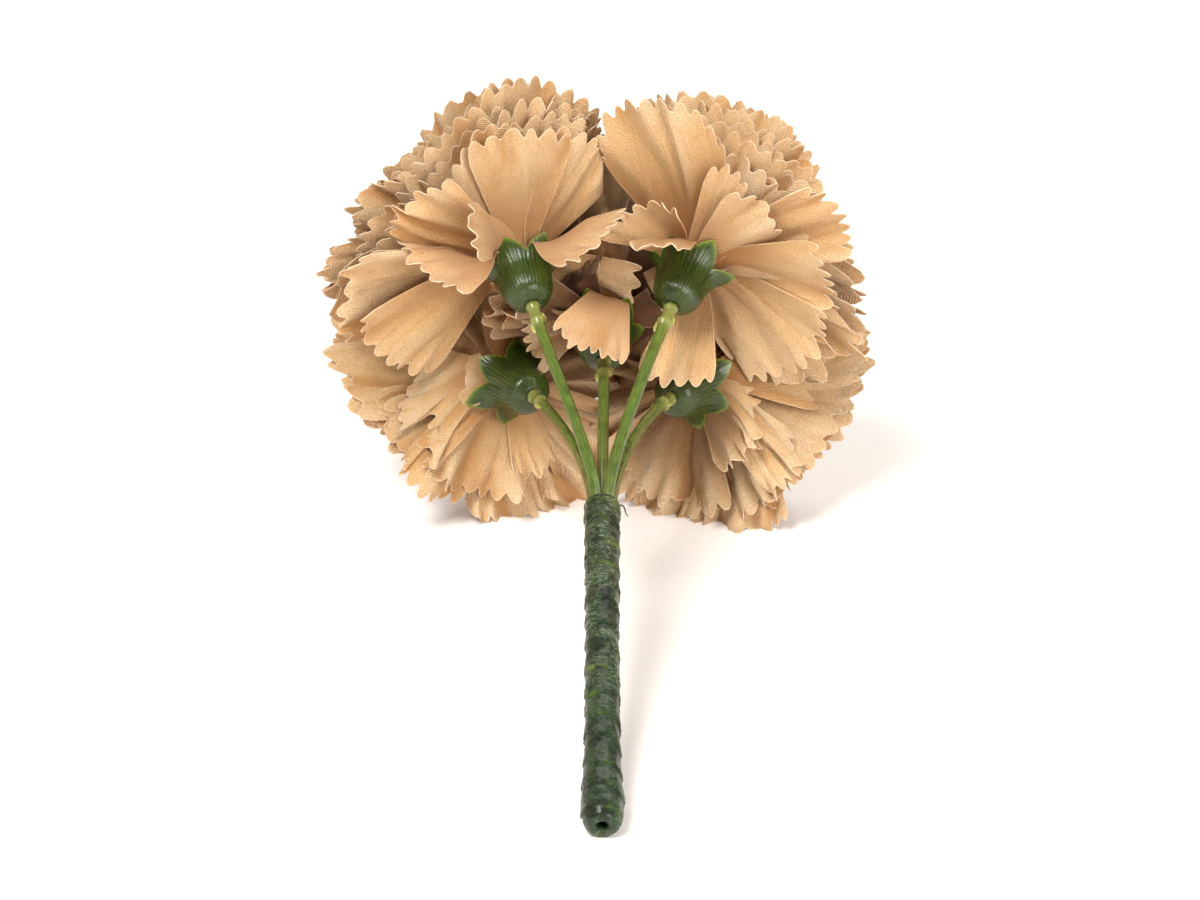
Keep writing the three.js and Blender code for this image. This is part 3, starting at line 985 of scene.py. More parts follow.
def petal(
    azimuth: float, angles: tuple[Pair, ...], length: float, half_width: float, teeth: int = 8,
    depth: float = 3.6, folds: float = 2.2, fold_depth: float = 1.3, ruffle: float = 0.7,
    rounding: float = 0.15, **further: object,
) -> FreePetal:
    """A petal given one by one.

    Args:
        azimuth: Where it leaves the cup, in degrees.
        angles: Its angles off the axis along its length, past the root's.
        length: From root to rim.
        half_width: Half its width at the rim.
        teeth: Number of scallops.
        depth: Depth of the notches.
        folds: Lengthwise folds.
        fold_depth: Their depth.
        ruffle: Depth of the ruffles at the rim.
        rounding: How much shorter its sides are.
        **further: Other fields of the petal.

    Returns:
        The petal.
    """
    cut = Cut(length, half_width, teeth, depth, rounding)
    drape = Drape(folds, fold_depth, RUFFLES, ruffle)
    return FreePetal(azimuth, ((0.0, ROOT_ANGLE), *angles), cut, drape, **further)


def fan(
    azimuth: float, length: float, flare: float, half_width: float, *cut: float, **further: object
) -> FreePetal:
    """A petal given one by one that opens like a fan, at one angle off the axis."""
    angles = ((0.12, lerp(ROOT_ANGLE, flare, 0.5)), (0.27, flare), (1.0, flare))
    return petal(azimuth, angles, length, half_width, *cut, **further)


def resting(
    azimuth: float, length: float, end: float, half_width: float, *cut: float, **further: object
) -> FreePetal:
    """A petal given one by one that comes out from behind the others and bends towards the stem."""
    angles = ((0.12, 45.0), (0.27, 76.0), (0.6, 80.0), (0.8, end), (1.0, end))
    return petal(azimuth, angles, length, half_width, *cut, **further)


# A petal's shade value paints shade on it where it lies deep in the bunch or under another head.
HEADS = (
    HeadPlan(
        "upper_left", (-17.8, 173.2, 14.9), 21, 132, 126, 21, (0.1, -0.2, 1.7, -0.2, 0.0, 0.9),
        (1.0, 1.0, 0.98, 0.95, 0.73, 0.76, 1.03, 1.44, 1.12, 0.95, 0.95, 0.95),
        (0.88, 0.68, 0.62, 0.68, 0.74, 0.82, 0.9, 1.02, 1.0, 0.7, 0.9, 0.95),
        (
            fan(83, 37, 69, 17, 6, 4.2, 1.6, 1.4, shade=0.15),
            fan(45, 37, 64, 17, 7, 4.0, 2.4, 1.6),
            fan(141, 35, 80, 15, 7, 3.6, 3.0, 2.4, 1.2),
            fan(158, 27.5, 108, 18, 7, 3.4, 1.6, 1.0, 1.2, spin=69, pressed=False),
            fan(117, 30, 116, 9, 5, 2.6, 1.2, 0.8, 1.0, spin=-70),
            fan(213, 46, 102, 20, 8, 4.0, 2.4, 1.4, 0.9),
            fan(186, 45, 88, 17, 7, 3.8, 2.6, 2.6, 1.4),
            fan(41, 27, 126, 17, 8, 3.6, 1.4, 1.0, 1.0, spin=-54, pressed=False),
            fan(334, 31, 117, 14, 6, 3.4, 1.8, 1.6, 1.2, pressed=False),
            fan(276, 38, 66, 14),
        ),
        OUTER_LAYERS, 11,
    ),
    HeadPlan(
        "upper_right", (17.8, 173.2, 14.4), 25, 38, 54, 31, (0.2, 0.0, 0.4, -0.1, 0.1, 1.6),
        (0.55, 0.8, 0.82, 0.8, 0.86, 0.9, 0.95, 0.95, 0.95, 0.95, 1.15, 1.34),
        (0.97, 0.78, 0.76, 0.74, 0.7, 0.75, 0.8, 0.9, 1.0, 1.0, 1.05, 1.03),
        (
            fan(115, 46, 71, 29, 11, 4.2, 2.4, 2.4, rounding=0.42, pressed=False, shade=0.12),
            fan(76, 31, 74, 6.5, 4, 3.4, 1.0, 1.2),
            fan(54, 29, 80, 11, 5, 3.6, 1.6, 1.8),
            fan(30, 43, 78, 15, 7, 4.0, 2.2, 1.6),
            fan(4, 37, 95, 22, 9, 4.0, 2.2, 1.3),
            fan(308, 40, 102, 25, 10, 4.0, 2.8, 1.6),
            fan(334, 38.5, 98, 15, 7, 4.0, 1.8, 1.2),
            petal(
                280, ((0.08, 71.0), (0.18, 130.0), (0.35, 160.0), (1.0, 160.0)),
                33, 13, 6, 3.6, 1.4, 1.2, pressed=False,
            ),
            fan(241, 42, 104, 13, 7, 3.8, 1.6, 1.4),
            fan(131, 20.5, 91, 18, 7, 3.6, 1.4, 1.0, 1.2, cup=-24.0, pressed=False),
            fan(102, 28, 139, 9.5, 5, 2.4, 1.4, 1.2),
        ),
        OUTER_LAYERS, 23,
    ),
    HeadPlan(
        "lower_left", (-17.9, 173.2, -14.2), 31, 216, 198, 50, (0.0, 0.4, 1.4, 0.5, 0.0, 0.2),
        (0.95, 0.95, 0.95, 0.95, 0.95, 1.25, 1.36, 0.88, 0.74, 0.9, 1.1, 1.05),
        (0.7, 0.65, 0.75, 0.8, 0.82, 0.85, 0.9, 0.9, 0.9, 0.85, 0.85, 0.8),
        (
            fan(250, 31.5, 91, 19, 9, 3.4, 2.0, 2.6, 2.6, shade=0.1),
            fan(200, 31, 97, 15, 7, 3.8, 2.8, 3.0, 2.4),
            fan(286, 27, 92, 8, 5, 3.2, 1.2, 2.2, 1.6),
            resting(274, 44, 108, 15, 8, 3.8, 2.6, 2.6, 3.0),
            resting(298, 50, 104, 17, 9, 3.6, 2.6, 3.0, 3.4),
            fan(166, 27, 104, 14, 7, 2.8, 1.6, 1.2, 1.2, rolls=(Roll(-3, 0, 0, 4, 125),)),
            fan(95, 46, 80, 16),
            fan(170, 44, 88, 17, 8, 3.6, 2.4, 2.4, 1.4),
            fan(226, 38, 88, 16, 8, 3.8, 2.4, 2.4, 1.4),
            fan(35, 44, 64, 15),
            fan(318, 43, 80, 15, 7, 4.0, 2.8, 3.6, 2.6, pressed=False),
            fan(345, 38, 72, 14, 7, 3.8, 2.8, 3.6, 2.8, pressed=False, shade=0.4),
            fan(12, 33, 74, 13, 7, 3.4, 2.8, 3.2, 2.8, pressed=False, shade=0.75),
        ),
        OUTER_LAYERS, 37,
    ),
    HeadPlan(
        "lower_right", (17.9, 173.2, -14.9), 33, 322, 342, 5, (0.5, 0.0, 0.1, 0.5, 0.3, 1.0),
        (1.26, 1.2, 0.88, 0.92, 0.95, 1.0, 1.0, 1.0, 1.0, 1.08, 0.88, 0.96),
        (0.85, 0.8, 0.8, 0.8, 0.75, 0.65, 0.7, 0.8, 0.88, 0.88, 0.82, 0.85),
        (
            fan(258, 34, 90, 20, 10, 3.4, 2.0, 3.0, 3.2, shade=0.6),
            fan(313, 22, 100, 11, 5, 3.2, 2.0, 2.6, 1.8, shade=0.6),
            fan(300, 37.5, 82, 18, 9, 3.6, 2.2, 3.2, 3.2, shade=0.6),
            fan(352, 23, 94, 12, 6, 3.2, 2.0, 2.2, 1.8),
            fan(328, 36, 84, 16, 8, 3.6, 2.4, 3.4, 3.2),
            resting(272, 46, 108, 15, 8, 4.2, 2.6, 2.6, 2.0),
            resting(288, 47, 106, 15, 8, 4.2, 2.6, 2.6, 2.0),
            resting(302, 38, 102, 13, 7, 4.0, 2.6, 2.6, 2.6),
            resting(250, 45, 104, 15, 8, 4.0, 2.6, 3.0, 2.2),
            fan(88, 46, 80, 16),
            fan(20, 44, 80, 16, 8, 3.8, 2.4, 2.4, 1.4),
            fan(147, 44, 64, 15),
            fan(236, 44, 82, 16, 8, 4.0, 2.8, 3.6, 2.4),
            fan(222, 40, 76, 15, 7, 4.0, 2.8, 3.6, 2.8, pressed=False, shade=0.2),
            fan(196, 36, 70, 14, 7, 3.8, 2.8, 3.6, 2.8, pressed=False, shade=0.6),
        ),
        OUTER_LAYERS, 41,
    ),
    HeadPlan(
        "centre", (0.5, 170.5, -0.6), 1, 90, 270, 22, (0.0, 0.2, 0.0, 0.1, 0.2, 0.0),
        (1.04, 1.0, 1.04, 0.96),
        (1.0,),
        (
            petal(
                70, ((0.06, 60.0), (0.13, 100.0), (0.27, 187.0), (1.0, 187.0)),
                35, 12.5, 8, 3.8, 1.6, 1.4, 1.0, skew=14, pressed=False,
            ),
            fan(165, 19, 100, 13, 7, 3.4, 2.6, 2.6, 2.6, skew=25, pressed=False, shade=0.3),
            fan(150, 26, 112, 12, 6, 3.4, 2.6, 2.6, 2.8, pressed=False, shade=0.75),
            fan(165, 30, 100, 12, 6, 3.4, 2.6, 3.0, 2.8, pressed=False, shade=0.85),
            fan(120, 34, 96, 13, 6, 3.0, 2.4, 2.4, 2.4, shade=0.95),
            fan(20, 30, 100, 13, 6, 3.0, 2.4, 2.4, 2.4, shade=0.9),
            fan(0, 50, 70, 16, shade=0.9),
            fan(45, 46, 60, 14, shade=0.9),
            fan(90, 48, 84, 15, 8, 3.8, 2.6, 2.4, 2.2, shade=0.5),
            fan(135, 46, 60, 14, shade=0.9),
            fan(180, 50, 70, 16, shade=0.9),
            fan(225, 46, 60, 14, shade=0.9),
            fan(270, 50, 70, 16, shade=0.9),
            fan(315, 46, 60, 14, shade=0.9),
        ),
        HEART_LAYERS, 53,
    ),
)


class MaterialKit:
    """Builds shader nodes with less writing."""

    def __init__(self, tree: bpy.types.NodeTree) -> None:
        """Works on one node tree.

        Args:
            tree: The tree of a material or a group.
        """
        self.tree = tree

    def node(
        self, kind: str, given: dict[int | str, object] | None = None, **settings: object
    ) -> bpy.types.Node:
        """Adds a node.

        Args:
            kind: Its type without the ShaderNode prefix.
            given: What its inputs get, by number or name.
            **settings: Its properties.

        Returns:
            The node.
        """
        made = self.tree.nodes.new("ShaderNode" + kind)
        for name, value in settings.items():
            setattr(made, name, value)
        for key, value in (given or {}).items():
            self.feed(made.inputs[key], value)
        return made

    def feed(self, socket: Socket, value: object) -> None:
        """Links a socket to another, or sets its value.

        Args:
            socket: The socket.
            value: A socket, a node whose first output is meant, or a plain value.
        """
        if isinstance(value, bpy.types.Node):
            value = value.outputs[0]
        if isinstance(value, Socket):
            self.tree.links.new(value, socket)
        else:
            socket.default_value = value

    def math(self, operation: str, *values: object) -> Socket:
        """A sum of values, by Blender's name for the operation."""
        return self.node("Math", dict(enumerate(values)), operation=operation).outputs[0]

    def mix(self, share: object, low: object, high: object) -> Socket:
        """A mix of two colours, by the share of the second."""
        return self.node("Mix", {0: share, 6: low, 7: high}, data_type="RGBA", clamp_factor=True).outputs[2]

    def tinted(self, base: object, tint: Colour, mask: object, share: float) -> Socket:
        """A colour mixed towards a tint by a share of a mask."""
        return self.mix(self.math("MULTIPLY", mask, share), base, colour(*tint))

    def bump(self, height: object, strength: float, relief: float) -> bpy.types.Node:
        """A bump, of a relief in millimetres for a height of 1."""
        return self.node("Bump", {"Height": height, "Strength": strength, "Distance": relief * MM})

    def noise(self, vector: object, scale: float, detail: float = 3, rough: float = 0.5) -> Socket:
        """Noise from 0 to 1."""
        given = {"Vector": vector, "Scale": scale, "Detail": detail, "Roughness": rough}
        return self.node("TexNoise", given).outputs["Fac"]

    def ramp(self, value: object, low: float, high: float) -> Socket:
        """Value from 0 at low to 1 at high, eased and clamped."""
        given = {"Value": value, "From Min": low, "From Max": high}
        return self.node("MapRange", given, interpolation_type="SMOOTHSTEP", clamp=True).outputs[0]

    def attribute(self, name: str) -> Socket:
        """A value that the mesh holds for each point."""
        return self.node("Attribute", attribute_type="GEOMETRY", attribute_name=name).outputs["Fac"]

    def stretched(self, vector: object, scale: Triple) -> Socket:
        """Coordinates stretched along each axis."""
        return self.node("Mapping", {"Vector": vector, "Scale": scale}).outputs[0]

    def object_place(self) -> Socket:
        """Object coordinates, in metres."""
        return self.node("TexCoord").outputs["Object"]

    def cloth_place(self) -> Socket:
        """The piece's own surface coordinates, in millimetres."""
        return self.node("UVMap", uv_map="cloth").outputs[0]


def colour(red: int, green: int, blue: int) -> tuple[float, float, float, float]:
    """A display colour from 0 to 255 as the linear colour that shaders take, by the sRGB curve."""
    linear = [((c / 255 + 0.055) / 1.055) ** 2.4 if c > 10 else c / 255 / 12.92 for c in (red, green, blue)]
    return (*linear, 1.0)


class Groups:
    """The shader node groups that several finishes share, each made once."""

    def __init__(self) -> None:
        """Makes the groups."""
        self.weave = self.make_weave()
        self.grain = self.make_grain()

    def start(
        self, name: str, inputs: dict[str, str], outputs: dict[str, str]
    ) -> tuple[MaterialKit, dict, dict]:
        """Makes an empty group.

        Args:
            name: The group's name.
            inputs: Socket types by name.
            outputs: The same for its outputs.

        Returns:
            Its kit, its input sockets and its output sockets.
        """
        tree = bpy.data.node_groups.new(name, "ShaderNodeTree")
        for key, kind in inputs.items():
            tree.interface.new_socket(name=key, in_out="INPUT", socket_type="NodeSocket" + kind)
        for key, kind in outputs.items():
            tree.interface.new_socket(name=key, in_out="OUTPUT", socket_type="NodeSocket" + kind)
        source, sink = tree.nodes.new("NodeGroupInput"), tree.nodes.new("NodeGroupOutput")
        return MaterialKit(tree), source.outputs, sink.inputs

    def make_weave(self) -> bpy.types.NodeTree:
        """Woven threads in two directions, with slubs.

        Returns:
            The group. Its height goes from 0 to about 1.
        """
        kit, given, out = self.start(
            "cloth_weave", {"Place": "Vector", "Pitch": "Float"}, {"Height": "Float"}
        )
        wander = kit.noise(given["Place"], 0.9, 2)
        split = kit.node("SeparateXYZ", {0: given["Place"]})
        threads = []
        for axis in (0, 1):
            bent = kit.math("ADD", split.outputs[axis], kit.math("MULTIPLY", wander, 0.8))
            turns = kit.math("MULTIPLY", kit.math("DIVIDE", bent, given["Pitch"]), TAU)
            threads.append(kit.math("MULTIPLY_ADD", kit.math("SINE", turns), 0.5, 0.5))
        both = kit.math("ADD", kit.math("MULTIPLY", threads[0], 0.65), kit.math("MULTIPLY", threads[1], 0.35))
        slub = kit.noise(kit.stretched(given["Place"], (0.5, 3.0, 1.0)), 1.6, 3, 0.6)
        kit.feed(out["Height"], kit.math("MULTIPLY", both, kit.math("ADD", slub, 0.4)))
        return kit.tree

    def make_grain(self) -> bpy.types.NodeTree:
        """Lengthwise grain of moulded plastic: fine ridges that run along the second coordinate.

        Returns:
            The group.
        """
        kit, given, out = self.start(
            "plastic_grain", {"Place": "Vector", "Fineness": "Float"}, {"Height": "Float", "Streak": "Float"}
        )
        made = kit.node("VectorMath", {0: given["Place"], "Scale": given["Fineness"]}, operation="SCALE")
        fine = kit.noise(kit.stretched(made.outputs[0], (3.2, 0.16, 1.0)), 1.0, 4, 0.6)
        broad = kit.noise(kit.stretched(made.outputs[0], (0.8, 0.1, 1.0)), 1.0, 2, 0.5)
        kit.feed(out["Height"], kit.math("MULTIPLY_ADD", broad, 0.7, fine))
        kit.feed(out["Streak"], kit.ramp(fine, 0.35, 0.7))
        return kit.tree

    def use(self, kit: MaterialKit, group: bpy.types.NodeTree, **values: object) -> bpy.types.Node:
        """Places a group in a material.

        Args:
            kit: The material's kit.
            group: The group.
            **values: What its inputs get, by name.

        Returns:
            The group's node.
        """
        made = kit.tree.nodes.new("ShaderNodeGroup")
        made.node_tree = group
        for name, value in values.items():
            kit.feed(made.inputs[name], value)
        return made


def start_material(
    name: str, roughness: float, specular: float, coat: float = 0.0, coat_roughness: float = 0.03
) -> tuple[bpy.types.Material, MaterialKit, bpy.types.Node]:
    """Makes a material with a Principled shader.

    Args:
        name: Its name.
        roughness: The shader's roughness.
        specular: Its specular level.
        coat: Weight of its clear coat.
        coat_roughness: Roughness of that coat.

    Returns:
        The material, its kit and the shader.
    """
    material = bpy.data.materials.new(name)
    material.use_nodes = True
    shader = material.node_tree.nodes["Principled BSDF"]
    shader.inputs["Roughness"].default_value = roughness
    shader.inputs["Specular IOR Level"].default_value = specular
    shader.inputs["Coat Weight"].default_value = coat
    shader.inputs["Coat Roughness"].default_value = coat_roughness
    return material, MaterialKit(material.node_tree), shader


@dataclass(frozen=True)
class PetalFinish:
    """Woven cloth that lets some light through, browner at its root and in its folds, with light and shade
    painted in.

    The root's brown is partly dye and partly painted shade where the petals nest, and petals deep in the
    bunch go towards the depth colour as painted shade. A share is how strongly a colour shows: the light one
    on raised folds as a painted highlight, the fold's in folds as painted shade and in streaks and clouds,
    the root's in specks and, as painted shade, between threads, and the edge's at the rim. The paling towards
    the rim is painted light. A fade is the stretch of the length on which a colour goes or comes. Pitch and
    relief are a thread's spacing and height in millimetres.
    """

    name: str = "petal_cloth"
    body: Colour = (243, 206, 149)
    # root: partly dye and partly painted shade where the petals nest.
    root: Colour = (158, 99, 41)
    # depth: painted shade for petals deep in the bunch or under another head.
    depth: Colour = (84, 44, 14)
    # fold: painted shade in the folds' valleys, and the colour of streaks and clouds.
    fold: Colour = (204, 147, 79)
    light: Colour = (255, 235, 197)
    edge: Colour = (255, 240, 212)
    through: Colour = (250, 190, 101)
    roughness: float = 0.82
    specular: float = 0.3
    sheen: float = 0.1
    sheen_roughness: float = 0.5
    translucency: float = 0.3
    warmth: float = 0.6
    pitch: float = 0.54
    root_fade: Pair = (0.1, 0.82)
    # rim_fade and rim_paling: paler towards the rim, painted light on the thin outer cloth.
    rim_fade: Pair = (0.55, 1.0)
    rim_paling: float = 0.32
    own_paling: float = 0.25
    painted_highlight_share: float = 0.6
    fold_share: float = 0.65
    streak_share: float = 0.5
    cloud_share: float = 0.3
    speck_share: float = 0.3
    # thread_share: painted shade between the threads.
    thread_share: float = 0.34
    edge_share: float = 0.6
    relief: float = 0.3
    streak_relief: float = 3.0
    bump: float = 0.8

    def build(self, groups: Groups) -> bpy.types.Material:
        """Makes the material.

        Args:
            groups: The shared node groups.

        Returns:
            The material.
        """
        material, kit, shader = start_material(self.name, self.roughness, self.specular)
        shader.inputs["Sheen Weight"].default_value = self.sheen
        shader.inputs["Sheen Roughness"].default_value = self.sheen_roughness
        weave = groups.use(kit, groups.weave, Place=kit.cloth_place(), Pitch=self.pitch)
        streak = self.streaks(kit)
        cloth = self.cloth_colour(kit, streak, weave.outputs["Height"])
        kit.feed(shader.inputs["Base Color"], cloth)
        height = kit.math("MULTIPLY_ADD", streak, self.streak_relief, weave.outputs["Height"])
        bump = kit.bump(height, self.bump, self.relief)
        kit.feed(shader.inputs["Normal"], bump)
        warm = kit.mix(self.warmth, cloth, colour(*self.through))
        through = kit.node("BsdfTranslucent", {"Color": warm, "Normal": bump})
        mixed = kit.node("MixShader", {0: self.translucency, 1: shader, 2: through})
        kit.feed(material.node_tree.nodes["Material Output"].inputs["Surface"], mixed)
        return material

    def streaks(self, kit: MaterialKit) -> Socket:
        """Streaks that run along each petal, others in every petal.

        Args:
            kit: The material's kit.

        Returns:
            The streaks.
        """
        other = kit.math("MULTIPLY", kit.attribute("tone"), 40.0)
        join = kit.node("CombineXYZ", {0: kit.attribute("across"), 1: kit.attribute("reach"), 2: other})
        return kit.noise(kit.stretched(join, (0.5, 1.6, 1.0)), 1.0, 4, 0.6)

    def cloth_colour(self, kit: MaterialKit, streak: Socket, threads: Socket) -> Socket:
        """The colour of the cloth, from the petal's plain colour to its cut edge.

        Args:
            kit: The material's kit.
            streak: The streaks.
            threads: Height of the threads.

        Returns:
            The colour.
        """
        reach, fold = kit.attribute("reach"), kit.attribute("fold")
        # Browner towards the root: partly dye, partly painted shade where the petals nest.
        rooted = kit.mix(kit.ramp(reach, *self.root_fade), colour(*self.root), colour(*self.body))
        own = kit.math("MULTIPLY", kit.attribute("tone"), self.own_paling)
        # Paler towards the rim as painted light; some petals paler at random by their own tone.
        paling = kit.math("MULTIPLY_ADD", kit.ramp(reach, *self.rim_fade), self.rim_paling, own)
        shade = kit.mix(paling, rooted, colour(*self.light))
        # Painted highlight on raised folds, and painted shade in their valleys.
        shade = kit.tinted(shade, self.light, kit.ramp(fold, 0.5, 1.1), self.painted_highlight_share)
        shade = kit.tinted(shade, self.fold, kit.ramp(fold, 0.5, -0.1), self.fold_share)
        shade = kit.tinted(shade, self.fold, kit.ramp(streak, 0.52, 0.78), self.streak_share)
        cloud = kit.noise(kit.cloth_place(), 0.12, 3, 0.6)
        shade = kit.tinted(shade, self.fold, kit.ramp(cloud, 0.45, 0.75), self.cloud_share)
        speck = kit.noise(kit.cloth_place(), 1.6, 3, 0.7)
        shade = kit.tinted(shade, self.root, kit.ramp(speck, 0.4, 0.7), self.speck_share)
        # Painted shade between the threads.
        shade = kit.tinted(shade, self.root, kit.math("SUBTRACT", 1.0, threads), self.thread_share)
        # Painted shade: petals deep in the bunch or under another head go towards the depth colour.
        shade = kit.mix(kit.attribute("deep"), shade, colour(*self.depth))
        return kit.tinted(shade, self.edge, kit.attribute("rim"), self.edge_share)


@dataclass(frozen=True)
class PlasticFinish:
    """Glossy moulded plastic with lengthwise grain, and an edge of another colour.

    The edge colour goes where the mesh's edge value is 1. The relief is the grain's height in millimetres,
    and the lumps' height is a factor on it.
    """

    name: str
    body: Colour
    dark: Colour
    edge: Colour
    roughness: float
    fineness: float
    relief: float
    coat: float
    coat_roughness: float = 0.06
    specular: float = 0.25
    streak_share: float = 0.7
    unevenness: float = 0.2
    lumps: float = 0.35
    bump: float = 0.6

    def build(self, groups: Groups) -> bpy.types.Material:
        """Makes the material.

        Args:
            groups: The shared node groups.

        Returns:
            The material.
        """
        material, kit, shader = start_material(
            self.name, self.roughness, self.specular, self.coat, self.coat_roughness
        )
        grain = groups.use(kit, groups.grain, Place=kit.cloth_place(), Fineness=self.fineness)
        place = kit.object_place()
        patch = kit.ramp(kit.noise(place, 220, 3, 0.5), 0.1, 0.6)
        shade = kit.mix(patch, colour(*self.dark), colour(*self.body))
        shade = kit.tinted(shade, self.dark, grain.outputs["Streak"], self.streak_share)
        kit.feed(shader.inputs["Base Color"], kit.mix(kit.attribute("edge"), shade, colour(*self.edge)))
        smoothest = self.roughness - self.unevenness / 2
        rough = kit.math("MULTIPLY_ADD", kit.noise(place, 900, 3), self.unevenness, smoothest)
        kit.feed(shader.inputs["Roughness"], rough)
        height = kit.math("MULTIPLY_ADD", kit.noise(place, 500, 2), self.lumps, grain.outputs["Height"])
        kit.feed(shader.inputs["Normal"], kit.bump(height, self.bump, self.relief))
        return material


@dataclass(frozen=True)
class TapeFinish:
    """Waxed crepe tape, paler where it was stretched, with painted highlights on its wrinkles' crests and
    painted shade in its crinkles' hollows.

    The painted highlights grow stronger over a span in metres along Y. The relief is the crinkles' height in
    millimetres, and the wrinkles' height is a factor on it. One turn of the tape ends on the last where the
    mesh's seam value is 1.
    """

    name: str = "floral_tape"
    body: Colour = (42, 66, 28)
    dark: Colour = (12, 26, 10)
    stretched: Colour = (104, 122, 36)
    # Colour of the painted highlights on the wrinkles' crests.
    painted_glint: Colour = (166, 180, 144)
    roughness: float = 0.6
    specular: float = 0.25
    coat: float = 0.3
    coat_roughness: float = 0.2
    # Span along Y over which the painted highlights grow, and the least share of them.
    glint_span: Pair = (-0.1, -0.045)
    glint_least: float = 0.3
    painted_glint_share: float = 0.95
    smoothing: float = 0.4
    relief: float = 0.8
    wrinkle_relief: float = 0.4

    def build(self, groups: Groups) -> bpy.types.Material:
        """Makes the material.

        Args:
            groups: The shared node groups. The tape needs none of them.

        Returns:
            The material.
        """
        material, kit, shader = start_material(
            self.name, self.roughness, self.specular, self.coat, self.coat_roughness
        )
        place, cloth = kit.object_place(), kit.cloth_place()
        patch = kit.noise(place, 160, 4, 0.6)
        crinkle = kit.noise(kit.stretched(cloth, (0.45, 0.9, 1.0)), 1.0, 5, 0.75)
        # Dark patches: partly random tone, partly painted shade in the crinkles' hollows.
        patches = kit.ramp(kit.mix(0.6, patch, crinkle), 0.42, 0.58)
        shade = kit.mix(patches, colour(*self.dark), colour(*self.body))
        uneven = kit.ramp(kit.noise(place, 90, 3, 0.6), 0.5, 0.68)
        pulled = kit.math("MULTIPLY", kit.attribute("seam"), uneven)
        shade = kit.mix(pulled, shade, colour(*self.stretched))
        vein = kit.noise(kit.stretched(cloth, (0.24, 0.5, 1.0)), 1.0, 4, 0.7)
        wrinkle = kit.ramp(kit.math("ABSOLUTE", kit.math("SUBTRACT", vein, 0.5)), 0.04, 0.0)
        split = kit.node("SeparateXYZ", {0: place})
        nearer = kit.ramp(split.outputs[1], *self.glint_span)
        glint_amount = kit.math("MULTIPLY_ADD", nearer, 1 - self.glint_least, self.glint_least)
        # Painted highlight on the wrinkles' crests, stronger along Y over the span.
        painted_glint = kit.math("MULTIPLY", kit.math("MULTIPLY", wrinkle, glint_amount), kit.ramp(patch, 0.35, 0.65))
        kit.feed(shader.inputs["Base Color"], kit.tinted(shade, self.painted_glint, painted_glint, self.painted_glint_share))
        rough = kit.math("MULTIPLY_ADD", crinkle, -self.smoothing, self.roughness)
        kit.feed(shader.inputs["Roughness"], rough)
        height = kit.math("MULTIPLY_ADD", wrinkle, self.wrinkle_relief, crinkle)
        kit.feed(shader.inputs["Normal"], kit.bump(height, 1.0, self.relief))
        return material


CALYX_FINISH = PlasticFinish(
    "calyx_plastic", body=(56, 72, 22), dark=(24, 36, 10), edge=(118, 130, 40),
    roughness=0.22, fineness=1.0, relief=0.42, coat=0.3,
)
STEM_FINISH = PlasticFinish(
    "stem_plastic", body=(98, 118, 48), dark=(44, 62, 20), edge=(160, 154, 86),
    roughness=0.18, fineness=1.1, relief=0.4, coat=1.0,
)


class Slot(Enum):
    """The record's material slots."""

    PETAL = "petal_fabric"
    CALYX = "calyx_plastic"
    STEM = "stem_plastic"
    TAPE = "floral_tape"


class Dresser:
    """Puts finished pieces in place of the model's nodes."""

    def __init__(self) -> None:
        """Makes each finish once."""
        groups = Groups()
        self.finishes = {
            Slot.PETAL: PetalFinish().build(groups),
            Slot.CALYX: CALYX_FINISH.build(groups),
            Slot.STEM: STEM_FINISH.build(groups),
            Slot.TAPE: TapeFinish().build(groups),
        }

    def dress(self, piece: bpy.types.Object, slot: Slot, *nodes: str) -> None:
        """Gives a piece its finish and its place.

        Args:
            piece: The piece.
            slot: The record's slot.
            *nodes: The model's nodes that it stands for.
        """
        piece.data.materials.append(self.finishes[slot])
        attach(piece, BODY)
        if nodes:
            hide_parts(*nodes)
        log.info("%s: %d faces", piece.name, len(piece.data.polygons))


SEEDS_PER_HEAD = 1000
LAYER_SEEDS = 100


@dataclass(frozen=True)
class HeadPart:
    """What one flower head's petals, cup and stem have in common.

    Attributes:
        plan: The head.
        bunch: The bunch's frame.
    """

    plan: HeadPlan
    bunch: BunchFrame


@dataclass(frozen=True)
class Variation:
    """How unlike each other the petals of one layer are.

    A single value is the most by which a petal differs: its place in gaps between petals, its length and
    width as shares, its flare, its lean and its curl in degrees. A pair is the least and the most of what is
    drawn, the ruffle's as a factor on the layer's.
    """

    place: float = 0.22
    length: float = 0.04
    width: float = 0.1
    flare: float = 1.5
    lean: float = 3.0
    curl: float = 6.0
    tooth_depth: Pair = (3.4, 5.0)
    rounding: Pair = (0.1, 0.2)
    folds: Pair = (1.6, 2.8)
    fold_depth: Pair = (1.4, 3.0)
    ruffles: Pair = (2.4, 4.0)
    ruffle: Pair = (0.7, 1.3)
    reserve: Pair = (0.0, 1.2)


